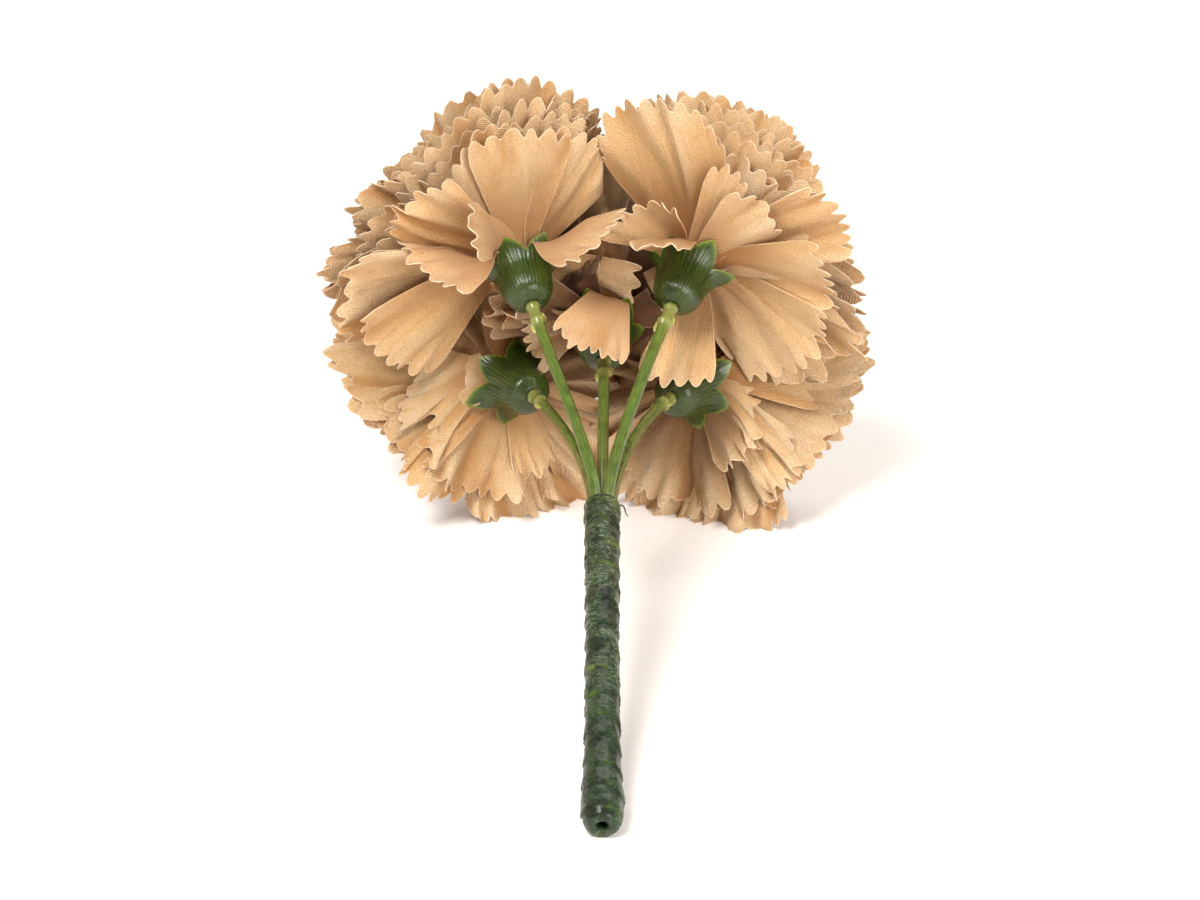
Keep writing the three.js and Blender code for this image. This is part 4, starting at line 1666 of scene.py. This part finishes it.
@dataclass(frozen=True)
class Bloom(HeadPart):
    """The petals of one head.

    Attributes:
        room: The planes between the heads.
        bend: What all petals share.
        variation: How unlike each other the layers' petals are.
        hand_set: Mesh of the petals given one by one.
        fine: Mesh of the outer layers' petals.
        plain: Mesh of the inner ones.
        alternate: How much less every other petal of a layer flares, in degrees.
        reserve: Room that the back layer keeps from the walls.
        layer_reserve: How much more each further layer keeps.
        row_power: How much closer the mesh's rows lie towards the rim.
        cut_edge: Width of the pale cut edge at the rim.
        side_edge: How pale the sides are against it.
        notch_zone: Share of the length where the notches start to count, and over which they grow.
        deep_zone: The same for where the painted shade of a deep petal fades.
        fold_value: Value for painted crest light and valley shade on flat cloth, and how much 1 mm of relief
            takes off it.
    """

    room: Room = Room()
    bend: Bend = Bend()
    variation: Variation = Variation()
    hand_set: Grain = Grain(15, 6)
    fine: Grain = Grain(13, 5)
    plain: Grain = Grain(10, 4)
    alternate: float = 4.0
    reserve: float = 0.5
    layer_reserve: float = 0.6
    row_power: float = 0.85
    cut_edge: float = 0.5
    side_edge: float = 0.35
    notch_zone: Pair = (0.62, 0.38)
    deep_zone: Pair = (0.55, 0.45)
    deep_paling: float = 0.75
    fold_value: Pair = (0.5, 0.3)
    cloth_shift: float = 60

    def layer_petals(self, rng: np.random.Generator) -> list[LayerPetal]:
        """The petals of the nested layers.

        Args:
            rng: Draws for how unlike each other they are.

        Returns:
            The petals, from the back layer to the middle.
        """
        vary = self.variation
        petals = []
        for k, layer in enumerate(self.plan.layers):
            for i in range(layer.petals):
                place, length, flare, lean, curl, width = rng.uniform(-1, 1, 6)
                cut = Cut(
                    layer.length * (1 + vary.length * length),
                    layer.half_width * (1 + vary.width * width),
                    layer.teeth,
                    rng.uniform(*vary.tooth_depth),
                    rng.uniform(*vary.rounding),
                )
                drape = Drape(
                    rng.uniform(*vary.folds),
                    rng.uniform(*vary.fold_depth),
                    rng.uniform(*vary.ruffles),
                    layer.ruffle * rng.uniform(*vary.ruffle),
                )
                made = LayerPetal(
                    azimuth=self.plan.twist + LAYER_TURN * k + 360 * (i + vary.place * place) / layer.petals,
                    flare=layer.flare - self.alternate * (i % 2) + vary.flare * flare,
                    layer=1 + k + (i % 2) / 2,
                    cut=cut,
                    drape=drape,
                    curl=layer.curl + vary.curl * curl,
                    lean=vary.lean * lean,
                    reserve=self.reserve + self.layer_reserve * k + rng.uniform(*vary.reserve),
                )
                petals.append(made)
        return petals

    def add_petal(self, stock: Stock, petal: Petal, grain: Grain, seed: int) -> None:
        """Adds one petal's closed shell.

        Args:
            stock: Where it goes.
            petal: The petal.
            grain: How fine its mesh is.
            seed: For its own draws.
        """
        rng = np.random.default_rng(seed)
        t = np.linspace(-1, 1, petal.cut.teeth * grain.tooth_columns + 1)
        base, notch = petal.cut.rim(t, rng)
        rows = np.append(np.linspace(0, 1, grain.rows) ** self.row_power, 1.0)
        rows[-2] = 1 - self.cut_edge / petal.cut.length
        u = rows[:, None]
        s = u * base - notch * rise(u, *self.notch_zone)
        walls = self.room.walls(self.plan.seat, self.plan.name == "centre", self.bunch)
        surface, relief = petal.surface(s, t, self.plan.frame(), walls, self.bend, rng)
        points, faces = sheet_shell(surface, self.bend.thickness)
        bias = rng.uniform(0, TAU)
        x, y = t * petal.cut.half_width_at(s), s * petal.cut.length
        across = x * math.cos(bias) - y * math.sin(bias) + self.cloth_shift * bias
        cloth = np.stack([across, x * math.sin(bias) + y * math.cos(bias)], axis=-1)
        rim = np.zeros(s.shape)
        rim[:, [0, -1]] = self.side_edge
        rim[-1] = 1.0
        flat, falling = self.fold_value
        values = {
            "reach": s,
            "tone": np.full(s.shape, rng.uniform()),
            "rim": rim,
            "across": x,
            # fold: painted light on raised cloth and painted shade in its valleys.
            "fold": flat - falling * relief,
            # deep: painted shade, full over the inner part and fading towards the rim.
            "deep": petal.shade * (1 - self.deep_paling * rise(s, *self.deep_zone)),
        }
        both_sides = {name: np.tile(value.ravel(), 2) for name, value in values.items()}
        stock.add(points, faces, np.tile(cloth.reshape(-1, 2), [2, 1]), **both_sides)

    def build(self, dresser: Dresser) -> None:
        """Makes the head's two pieces, its outer and its inner petals.

        Args:
            dresser: Gives them their finish and their place.
        """
        outer, inner = Stock(), Stock()
        first = SEEDS_PER_HEAD * self.plan.seed
        for i, petal in enumerate(self.plan.back):
            self.add_petal(outer, petal, self.hand_set, first + i)
        for i, petal in enumerate(self.layer_petals(np.random.default_rng(self.plan.seed))):
            stock, grain = (outer, self.fine) if petal.layer < FINE_LAYERS else (inner, self.plain)
            self.add_petal(stock, petal, grain, first + LAYER_SEEDS + i)
        for name, stock in (("outer_petals_", outer), ("inner_petals_", inner)):
            piece = stock.piece(name + self.plan.name, self.bunch)
            dresser.dress(piece, Slot.PETAL, "bloom_" + self.plan.name)


@dataclass(frozen=True)
class LobeForm:
    """The lobes of a cup, at each angle round it.

    Attributes:
        across: Place across a lobe, from -1 to 1.
        bent: How far the lobe is bent out.
        rim: Height of the rim.
        groove: Depth of the groove between two lobes, from 0 to 1.
        ribs: Height of the ribs.
    """

    across: np.ndarray
    bent: np.ndarray
    rim: np.ndarray
    groove: np.ndarray
    ribs: np.ndarray


@dataclass(frozen=True)
class Calyx(HeadPart):
    """The green cup of one head: a bell with broad pointed lobes.

    Attributes:
        outer: Radius and height up the outside of the bell.
        inner: The same down its inside.
        lobes: Number of lobes.
        valley: Height between two lobes.
        tip: Radius and height at a lobe's tip.
        heights: How much lower and higher than that a lobe may end.
        thickness: Thickness of a lobe.
        columns: Points round the cup.
        lobe_rows: Rings of points up the lobes.
        ribs: Ribs on each lobe.
        groove_width: Half width of the groove between two lobes, in half lobes.
        keel: Height of the keel under each lobe's middle.
        tip_keel: How much higher it is at the tip.
        bend: How far a lobe with a bend of 1 stands out at its tip.
        paleness: Strength of the edge colour at the lobes' rims.
    """

    outer: tuple[Pair, ...] = (
        (1.95, 0.0), (2.5, 0.0), (2.9, 0.2), (3.3, 0.5), (4.2, 0.9), (5.1, 1.6), (5.8, 2.7), (6.3, 4.1),
        (6.6, 5.7), (6.85, 7.4), (7.15, 9.2),
    )
    inner: tuple[Pair, ...] = ((6.4, 9.0), (5.6, 6.6), (4.2, 4.2), (1.95, 2.4))
    lobes: int = 6
    valley: float = 11.9
    tip: Pair = (10.4, 15.6)
    heights: Pair = (-0.9, 0.7)
    thickness: float = 0.5
    columns: int = 288
    lobe_rows: int = 10
    ribs: int = 7
    rib_depth: float = 0.2
    groove_depth: float = 0.32
    groove_width: float = 0.07
    keel: float = 0.16
    tip_keel: float = 0.35
    bend: float = 2.4
    cloth_radius: float = 6.5
    paleness: float = 0.8

    def form(self, theta: np.ndarray) -> LobeForm:
        """The lobes' form.

        Args:
            theta: Angles round the cup.

        Returns:
            The form at each angle.
        """
        rng = np.random.default_rng(self.plan.seed + 5)
        place = (theta - math.radians(self.plan.twist)) * self.lobes / TAU
        lobe = np.floor(place).astype(int) % self.lobes
        across = 2 * (place - np.floor(place)) - 1
        aside = np.abs(across)
        bent = np.array(self.plan.lobes)[lobe]
        higher = rng.uniform(*self.heights, self.lobes)[lobe] - 0.7 * bent
        outline = 0.8 * (1 - aside**1.8) + 0.2 * (1 - aside) + 0.08 * bell(across, 0.12)
        rim = self.valley + (self.tip[1] + higher - self.valley) * outline
        groove = bell(1 - aside, self.groove_width)
        shift = rng.uniform(-0.5, 0.5, self.lobes)[lobe]
        ribs = np.abs(np.sin(math.pi * self.ribs * (across + 1) / 2 + shift)) ** 0.7
        ribs = self.rib_depth * (ribs - 0.6) * (1 - groove)
        return LobeForm(across, bent * (1 - aside**2), rim, groove, ribs)

    def rings(self, theta: np.ndarray) -> tuple[np.ndarray, np.ndarray, np.ndarray]:
        """The cup's rings, up its outside, over the lobes and down its inside.

        Args:
            theta: Angles round the cup.

        Returns:
            Radius, height and edge value of each point, as rows of rings.
        """
        form = self.form(theta)
        keel = self.keel * (1 - np.abs(form.across))
        ring = np.ones(self.columns)
        rings = []
        for radius, height in self.outer:
            depth = self.groove_depth * form.groove * rise(height, 3.5, 5) - form.ribs * rise(height, 1.5, 3)
            rings.append((radius - depth + keel * rise(height, 2.5, 5), height * ring, 0 * ring))
        base, start = self.outer[-1]
        length = self.tip[1] - start
        slope = (self.tip[0] - base) / length
        for share in np.arange(1, self.lobe_rows + 1) / self.lobe_rows:
            height = start + (form.rim - start) * share
            up = (height - start) / length
            flare = slope * (height - start) * (0.35 + 0.65 * up) + self.bend * form.bent * up**1.6
            depth = self.groove_depth * form.groove * (1 - share) - form.ribs * (1 - 0.7 * share)
            ridge = keel + self.tip_keel * up * (1 - form.across**2)
            rings.append((base + flare - depth + ridge, height, rise(share, 0.84, 0.16) * ring))
        for k, (radius, height, edge) in enumerate(reversed(rings[len(self.outer):])):
            inward, lift = (0.8, 0.25) if k else (0.55, 0.0)
            rings.append((radius - self.thickness * inward, height + lift, edge))
        rings += [(radius * ring, height * ring, 0 * ring) for radius, height in self.inner]
        radii, heights, edges = (np.array(part) for part in zip(*rings))
        return radii, heights, edges

    def build(self, dresser: Dresser) -> None:
        """Makes the cup's piece.

        Args:
            dresser: Gives it its finish and its place.
        """
        theta = circle(self.columns)
        radius, height, edge = self.rings(theta)
        points = self.plan.frame().place(np.broadcast_to(theta, radius.shape), radius, height)
        faces = ring_faces(len(radius), self.columns)[:, ::-1]
        cloth = ring_cloth(theta, self.cloth_radius, height)
        stock = Stock()
        stock.add(points, faces, cloth, edge=edge * self.paleness)
        piece = stock.piece("cup_" + self.plan.name, self.bunch, SHARP_ANGLE)
        dresser.dress(piece, Slot.CALYX, "calyx_" + self.plan.name)


def capped_faces(rings: int, sides: int, flip: bool) -> list[list[int]]:
    """Faces of a closed body whose points are a tip, rings and a second tip.

    Args:
        rings: Number of rings.
        sides: Points in each.
        flip: Whether the rings turn the other way round.

    Returns:
        Lists of corner numbers.
    """
    walls = grid_faces(rings, sides, start=1, closed=True)
    k = np.arange(sides)
    pair = ((k + 1) % sides, k)
    if flip:
        walls, pair = walls[:, ::-1], pair[::-1]
    last = 1 + rings * sides
    start = np.stack([np.zeros(sides, int), 1 + pair[0], 1 + pair[1]], axis=1)
    end = np.stack([np.full(sides, last), last - sides + pair[1], last - sides + pair[0]], axis=1)
    return [*walls.tolist(), *start.tolist(), *end.tolist()]


def tube(
    line: np.ndarray, radii: np.ndarray, sides: int, ridge: np.ndarray | float = 0.0
) -> tuple[np.ndarray, list[list[int]], np.ndarray]:
    """A closed tube along a line, with flat ends.

    Args:
        line: Its points.
        radii: Its radius at each.
        sides: Points round it.
        ridge: What is added to the radius round it.

    Returns:
        The points, the faces as lists of corner numbers, and the surface coordinates.
    """
    theta = circle(sides)
    across = np.array([1.0, 0.0, 0.0])
    rings = []
    for point, way, radius in zip(line, unit(np.gradient(line, axis=0)), radii):
        across = unit(across - way * (across @ way))
        up = np.cross(way, across)
        reach = (radius + ridge * np.ones(sides))[:, None]
        rings.append(point + reach * (np.cos(theta)[:, None] * across + np.sin(theta)[:, None] * up))
    distance = distances_along(line)
    sideways = both_ways(theta)[None] * radii[:, None]
    cloth = np.stack([sideways, np.broadcast_to(distance[:, None], sideways.shape)], axis=-1).reshape(-1, 2)
    cloth = np.concatenate([[[0, distance[0]]], cloth, [[0, distance[-1]]]])
    return np.concatenate([line[:1], *rings, line[-1:]]), capped_faces(len(line), sides, True), cloth


@dataclass(frozen=True)
class Handle:
    """The tape wound round the stems.

    Attributes:
        bunch: The bunch's frame.
        length: Its length.
        outer: Radius and distance from its end up the outside.
        inner: The same down the inside.
        pitch: Distance between two turns of the tape.
        wander: How far the turns wander, in turns.
        step: Height of the step where a turn ends on the last.
        sunk: How much lower the tape lies in all.
        end_fade: Over which length the relief grows at the handle's end.
        mouth_fade: The same at its mouth.
        columns: Points round it.
        spacing: Distance between rows.
        thread: A loose strip of tape at its mouth.
    """

    bunch: BunchFrame
    length: float = 109.5
    outer: tuple[Pair, ...] = (
        (1.25, 0.7), (1.5, 0.3), (2.0, 0.08), (2.7, 0.1), (3.4, 0.55), (4.0, 1.4), (4.4, 2.6), (4.6, 4.2),
        (4.68, 7.5), (4.5, 11), (4.22, 15), (3.95, 26), (3.85, 60), (4.0, 88), (4.3, 106), (4.3, 109.5),
    )
    inner: tuple[Pair, ...] = (
        (3.95, 109.5), (3.85, 104), (3.8, 97), (3.42, 80), (3.42, 4.4), (2.7, 2.9), (1.25, 2.2),
    )
    pitch: float = 7.6
    wander: float = 0.45
    step: float = 0.42
    wrinkle: float = 0.12
    crinkle: float = 0.1
    lump: float = 0.16
    sunk: float = 0.15
    end_fade: float = 3.0
    mouth_fade: float = 1.0
    columns: int = 96
    spacing: float = 0.5
    cloth_radius: float = 4.0
    thread: tuple[Triple, ...] = (
        (3.9, 108.9, 0.8), (4.5, 109.0, 1.1), (5.1, 108.4, 1.3),
        (5.5, 107.2, 1.3), (5.7, 105.9, 1.0), (6.3, 104.9, 0.8),
    )
    thread_radii: Pair = (0.3, 0.12)
    thread_sides: int = 8

    def rings(self, theta: np.ndarray) -> tuple[np.ndarray, np.ndarray, np.ndarray]:
        """The tape's rings, up its outside and down its inside.

        Args:
            theta: Angles round it.

        Returns:
            Radius, distance from the handle's end and seam value of each point, as rows of rings.
        """
        distance = distances_along(np.array(self.outer))
        path = np.linspace(0, distance[-1], int(distance[-1] / self.spacing))
        radius, place = (np.interp(path, distance, values) for values in zip(*self.outer))
        relief, seam = self.relief(place, theta)
        mouth = rise(place - self.length, -self.mouth_fade, self.mouth_fade)
        fade = (smooth(place / self.end_fade) * (1 - mouth))[:, None]
        ring = np.ones((1, self.columns))
        rings = [(radius[:, None] + relief * fade, place[:, None] * ring, seam * fade)]
        rings += [(r * ring, y * ring, 0 * ring) for r, y in self.inner]
        radii, heights, seams = (np.concatenate(part) for part in zip(*rings))
        return radii, heights, seams

    def relief(self, place: np.ndarray, theta: np.ndarray) -> tuple[np.ndarray, np.ndarray]:
        """Steps and crinkles of the wound tape.

        Args:
            place: Distances from the handle's end.
            theta: Angles round it.

        Returns:
            What they add to the radius, and how near each point is to a step.
        """
        relief = np.zeros((len(place), len(theta)))
        seam = np.zeros_like(relief)
        for i, y in enumerate(place):
            for j, angle in enumerate(theta):
                x, z = math.cos(angle), math.sin(angle)
                wander = noise.noise(Vector((x * 0.9, y * 0.16, z * 0.9)))
                turn = y / self.pitch - angle / TAU + self.wander * wander
                part = turn - math.floor(turn)
                wrinkle = 1 - abs(noise.noise(Vector((x * 2.1, y * 0.55, z * 2.1 + 7)))) * 2.2
                crinkle = noise.noise(Vector((x * 4 + y * 0.5, y * 1.6, z * 4)))
                lump = noise.noise(Vector((x * 1.2, y * 0.3, z * 1.2 + 3)))
                relief[i, j] = (
                    self.step * (1 - part) ** 1.5 * min(part / 0.03, 1)
                    + self.wrinkle * max(wrinkle, 0) ** 3
                    + self.crinkle * crinkle
                    + self.lump * lump
                )
                seam[i, j] = bell(part, 0.1) + bell(1 - part, 0.04)
        return relief - self.sunk, np.minimum(seam, 1)

    def build(self, dresser: Dresser) -> None:
        """Makes the tape's piece. Where it would sink into the table, it is pressed flat.

        Args:
            dresser: Gives it its finish and its place.
        """
        theta = circle(self.columns)
        radius, height, seam = self.rings(theta)
        points = np.stack([radius * np.cos(theta), height, radius * np.sin(theta)], axis=-1)
        normal, offset = self.bunch.table()
        points = points + np.maximum(offset - points @ normal, 0)[..., None] * normal
        cloth = ring_cloth(theta, self.cloth_radius, height)
        stock = Stock()
        stock.add(points, ring_faces(len(radius), self.columns), cloth, seam=seam)
        radii = np.linspace(*self.thread_radii, len(self.thread))
        thread, faces, cloth = tube(np.array(self.thread), radii, self.thread_sides)
        stock.add(thread, faces, cloth, seam=np.zeros(len(thread)))
        dresser.dress(stock.piece("tape_turns", self.bunch, 70), Slot.TAPE, "tape_wrap")


@dataclass(frozen=True)
class Stem(HeadPart):
    """One moulded stem: a thin rod with a knuckle and a collar under its cup.

    Attributes:
        ring_mouth: Distance from the handle's axis at its mouth.
        ring_inside: The same inside it.
        spread_from: Distance from the handle's end where the stems start to spread.
        radius: The stem's radius.
        start: Where it begins in the handle.
        handle: The handle's length.
        leaving_pull: How far it keeps the handle's direction, as a share of its free length.
        seat_pull: The same for the cup's direction.
        peg: How far it reaches into the cup.
        knuckle: Distance of the knuckle under the cup. Its swell is its height and its width.
        collar: The same for the collar.
        sides: Points round it.
        ears: Side and distance under the cup of each ear that the mould left.
    """

    ring_mouth: float = 2.3
    ring_inside: float = 2.02
    spread_from: float = 84
    radius: float = 1.42
    hidden_radius: float = 1.05
    start: float = 5
    handle: float = 109.5
    leaving_pull: float = 0.22
    seat_pull: float = 0.3
    peg: float = 2.6
    peg_radius: float = 1.55
    knuckle: float = 5.6
    knuckle_swell: Pair = (0.62, 0.95)
    collar: float = 0.7
    collar_swell: Pair = (0.5, 0.75)
    neck_swell: float = 0.1
    ridge: float = 0.06
    sides: int = 36
    ears: tuple[tuple[int, float], ...] = ((1, 4.6), (-1, 7.2))
    ear_reach: float = 1.55
    ear_depth: float = 0.42
    ear_paleness: float = 0.95

    def line(self) -> np.ndarray:
        """The stem's middle line.

        Returns:
            Its points: almost straight in the handle, then one curve to the peg's end.
        """
        ring = math.radians(self.plan.ring)
        side = np.array([math.cos(ring), 0, math.sin(ring)])
        way = np.array([0.0, 1.0, 0.0])
        y = np.arange(self.start, self.handle - 0.3, 1.5)
        spread = rise(y, self.spread_from, self.handle - self.spread_from)
        inside = lerp(self.ring_inside, self.ring_mouth, spread)[:, None] * side + y[:, None] * way
        head = self.plan.frame()
        mouth = self.ring_mouth * side + self.handle * way
        end = head.seat + head.axis * self.peg
        free = float(np.linalg.norm(end - mouth))
        leaving, arriving = way * free * self.leaving_pull, head.axis * free * self.seat_pull
        share = np.linspace(0, 1, 110)[:, None]
        controls = (mouth, mouth + leaving, end - arriving, end)
        weights = ((1 - share) ** 3, 3 * share * (1 - share) ** 2, 3 * share**2 * (1 - share), share**3)
        return np.concatenate([inside, sum(weight * point for weight, point in zip(weights, controls))])

    def radii(self, distance: np.ndarray, below: np.ndarray) -> np.ndarray:
        """The stem's radius along its line.

        Args:
            distance: How far each point lies from the line's start.
            below: How far it lies under the cup.

        Returns:
            The radii.
        """
        hidden = smooth((self.handle - self.start + 6 - distance) / 14)
        radii = lerp(self.radius, self.hidden_radius, hidden)
        for place, (height, width) in ((self.knuckle, self.knuckle_swell), (self.collar, self.collar_swell)):
            radii = radii + height * bell(below - place, width) * (below > 0)
        radii = radii + self.neck_swell * smooth((self.knuckle + 1 - below) / 2)
        return np.where(below < 0.15, self.peg_radius, radii)

    def build(self, dresser: Dresser) -> None:
        """Makes the stem's piece.

        Args:
            dresser: Gives it its finish and its place.
        """
        rng = np.random.default_rng(self.plan.seed + 9)
        line = self.line()
        distance = distances_along(line)
        below = distance[-1] - self.peg - distance
        theta = circle(self.sides)
        ridge = self.ridge * np.cos(3 * theta + rng.uniform(0, TAU)) + self.ridge * np.cos(7 * theta)
        points, faces, cloth = tube(line, self.radii(distance, below), self.sides, ridge)
        pale = 0.35 * smooth((11 - below) / 8) + 0.3 * bell(below - self.knuckle, 1.2)
        edge = np.concatenate([[0], np.repeat(np.clip(pale, 0, 1), self.sides), [0]])
        stock = Stock()
        stock.add(points, faces, cloth, edge=edge)
        self.add_ears(stock, line, below, rng)
        piece = stock.piece("stalk_" + self.plan.name, self.bunch, SHARP_ANGLE)
        dresser.dress(piece, Slot.STEM, "stem_" + self.plan.name)

    def add_ears(self, stock: Stock, line: np.ndarray, below: np.ndarray, rng: np.random.Generator) -> None:
        """Adds the thin ears that the mould left beside the knuckle.

        Args:
            stock: The stem's stock.
            line: Its middle line.
            below: Distance under the cup along it.
            rng: Draws for their sizes.
        """
        along = unit(np.gradient(line, axis=0))
        u = np.linspace(0, math.pi, 9)[1:-1, None]
        v = circle(12)
        for side, under in self.ears:
            k = int(np.argmin(np.abs(below - under)))
            way = along[k]
            across = unit(np.array([1.0, 0, 0]) - way * way[0])
            deep = np.cross(way, across)
            centre = line[k] + side * across * self.ear_reach
            width, height = rng.uniform(0.75, 0.95), rng.uniform(1.7, 2.1)
            ball = (
                centre
                + width * (np.sin(u) * np.cos(v))[..., None] * across
                + height * np.broadcast_to(np.cos(u), (len(u), len(v)))[..., None] * way
                + self.ear_depth * (np.sin(u) * np.sin(v))[..., None] * deep
            )
            points = np.concatenate([[centre + height * way], ball.reshape(-1, 3), [centre - height * way]])
            faces = capped_faces(len(u), len(v), False)
            stock.add(points, faces, np.zeros((len(points), 2)), edge=np.full(len(points), self.ear_paleness))


@dataclass(frozen=True)
class FloorFinish:
    """Pale matt paint in two shades, with a faint glow."""

    name: str = "floor_paint"
    shades: tuple[Colour, ...] = ((251, 247, 244), (253, 249, 246))
    glow: Colour = (255, 247, 245)
    glow_strength: float = 0.13
    roughness: float = 0.7
    specular: float = 0.2

    def build(self) -> bpy.types.Material:
        """Makes the material.

        Returns:
            The material.
        """
        material, kit, shader = start_material(self.name, self.roughness, self.specular)
        cloud = kit.noise(kit.object_place(), 3, 2)
        kit.feed(shader.inputs["Base Color"], kit.mix(cloud, *(colour(*shade) for shade in self.shades)))
        kit.feed(shader.inputs["Emission Color"], colour(*self.glow))
        shader.inputs["Emission Strength"].default_value = self.glow_strength
        return material


@dataclass(frozen=True)
class Lamp:
    """An area light that faces the bunch. Places and sizes are in metres, its power in watts."""

    name: str
    place: Triple
    size: float
    power: float
    tint: Triple
    aim: Triple = (0, 0, 0.05)

    def build(self) -> None:
        """Makes the light."""
        data = bpy.data.lights.new(self.name, "AREA")
        data.size, data.energy, data.color = self.size, self.power, self.tint
        light = bpy.data.objects.new(self.name, data)
        light.location = self.place
        light.rotation_euler = (Vector(self.aim) - light.location).to_track_quat("-Z", "Y").to_euler()
        bpy.context.scene.collection.objects.link(light)


@dataclass(frozen=True)
class Studio:
    """Pale floor, soft lights and the camera of the photograph.

    Attributes:
        bunch: The bunch's frame.
        floor_size: Side of the floor, in metres.
        sky: Colour of the world's light.
        sky_strength: Its strength.
        lamps: The lights.
        aim: The point that the camera faces, from the middle of the handle's end.
        elevation: How far the camera looks down, in degrees.
        distance: Its distance from that point.
        lens: Its focal length.
        sensor_width: Width of its sensor.
    """

    bunch: BunchFrame
    floor_size: float = 8
    sky: tuple[float, float, float, float] = (1.0, 0.9, 0.8, 1)
    sky_strength: float = 0.25
    lamps: tuple[Lamp, ...] = (
        Lamp("key", (-0.35, -0.6, 0.9), 0.42, 14.3, (1.0, 0.985, 0.95)),
        Lamp("fill", (0.65, -0.95, 0.38), 0.6, 12.2, (1.0, 0.985, 0.96)),
        Lamp("back", (0.1, 0.9, 0.8), 0.9, 8.0, (1.0, 0.99, 0.97)),
    )
    aim: Triple = (-0.5, 150, 30.76)
    elevation: float = 20.4
    distance: float = 800
    lens: float = 93.64
    sensor_width: float = 36

    def build(self) -> None:
        """Makes the floor, the world, the lights and the camera."""
        bpy.context.scene.view_settings.view_transform = "Standard"
        self.add_floor()
        self.add_world()
        for lamp in self.lamps:
            lamp.build()
        self.add_camera()

    def add_floor(self) -> None:
        """Makes the table top."""
        bpy.ops.mesh.primitive_plane_add(size=self.floor_size)
        floor = bpy.context.object
        floor.name = "floor"
        floor.data.materials.append(FloorFinish().build())

    def add_world(self) -> None:
        """Makes the light that comes from all round."""
        world = bpy.data.worlds.new("studio")
        world.use_nodes = True
        background = world.node_tree.nodes["Background"]
        background.inputs["Color"].default_value = self.sky
        background.inputs["Strength"].default_value = self.sky_strength
        bpy.context.scene.world = world

    def add_camera(self) -> None:
        """Makes the camera at the photograph's place."""
        data = bpy.data.cameras.new("camera")
        data.sensor_width, data.lens = self.sensor_width, self.lens
        camera = bpy.data.objects.new("camera", data)
        angle = math.radians(self.elevation)
        way = Vector((0, math.cos(angle), -math.sin(angle)))
        target = Vector((self.bunch.origin() + np.array(self.aim)) * MM)
        camera.location = target - way * self.distance * MM
        camera.rotation_euler = way.to_track_quat("-Z", "Y").to_euler()
        bpy.context.scene.collection.objects.link(camera)
        bpy.context.scene.camera = camera


def corners(box: tuple) -> list[list[float]]:
    """A box's two corners as plain lists."""
    return [list(map(float, corner)) for corner in box]


def main() -> None:
    """Builds the studio and the bunch."""
    logging.basicConfig(level=logging.INFO, format="%(name)s: %(message)s")
    bunch = BunchFrame()
    Studio(bunch).build()
    dresser = Dresser()
    Handle(bunch).build(dresser)
    for plan in HEADS:
        Stem(plan, bunch).build(dresser)
        Calyx(plan, bunch).build(dresser)
        Bloom(plan, bunch).build(dresser)


if __name__ == "__main__":
    main()
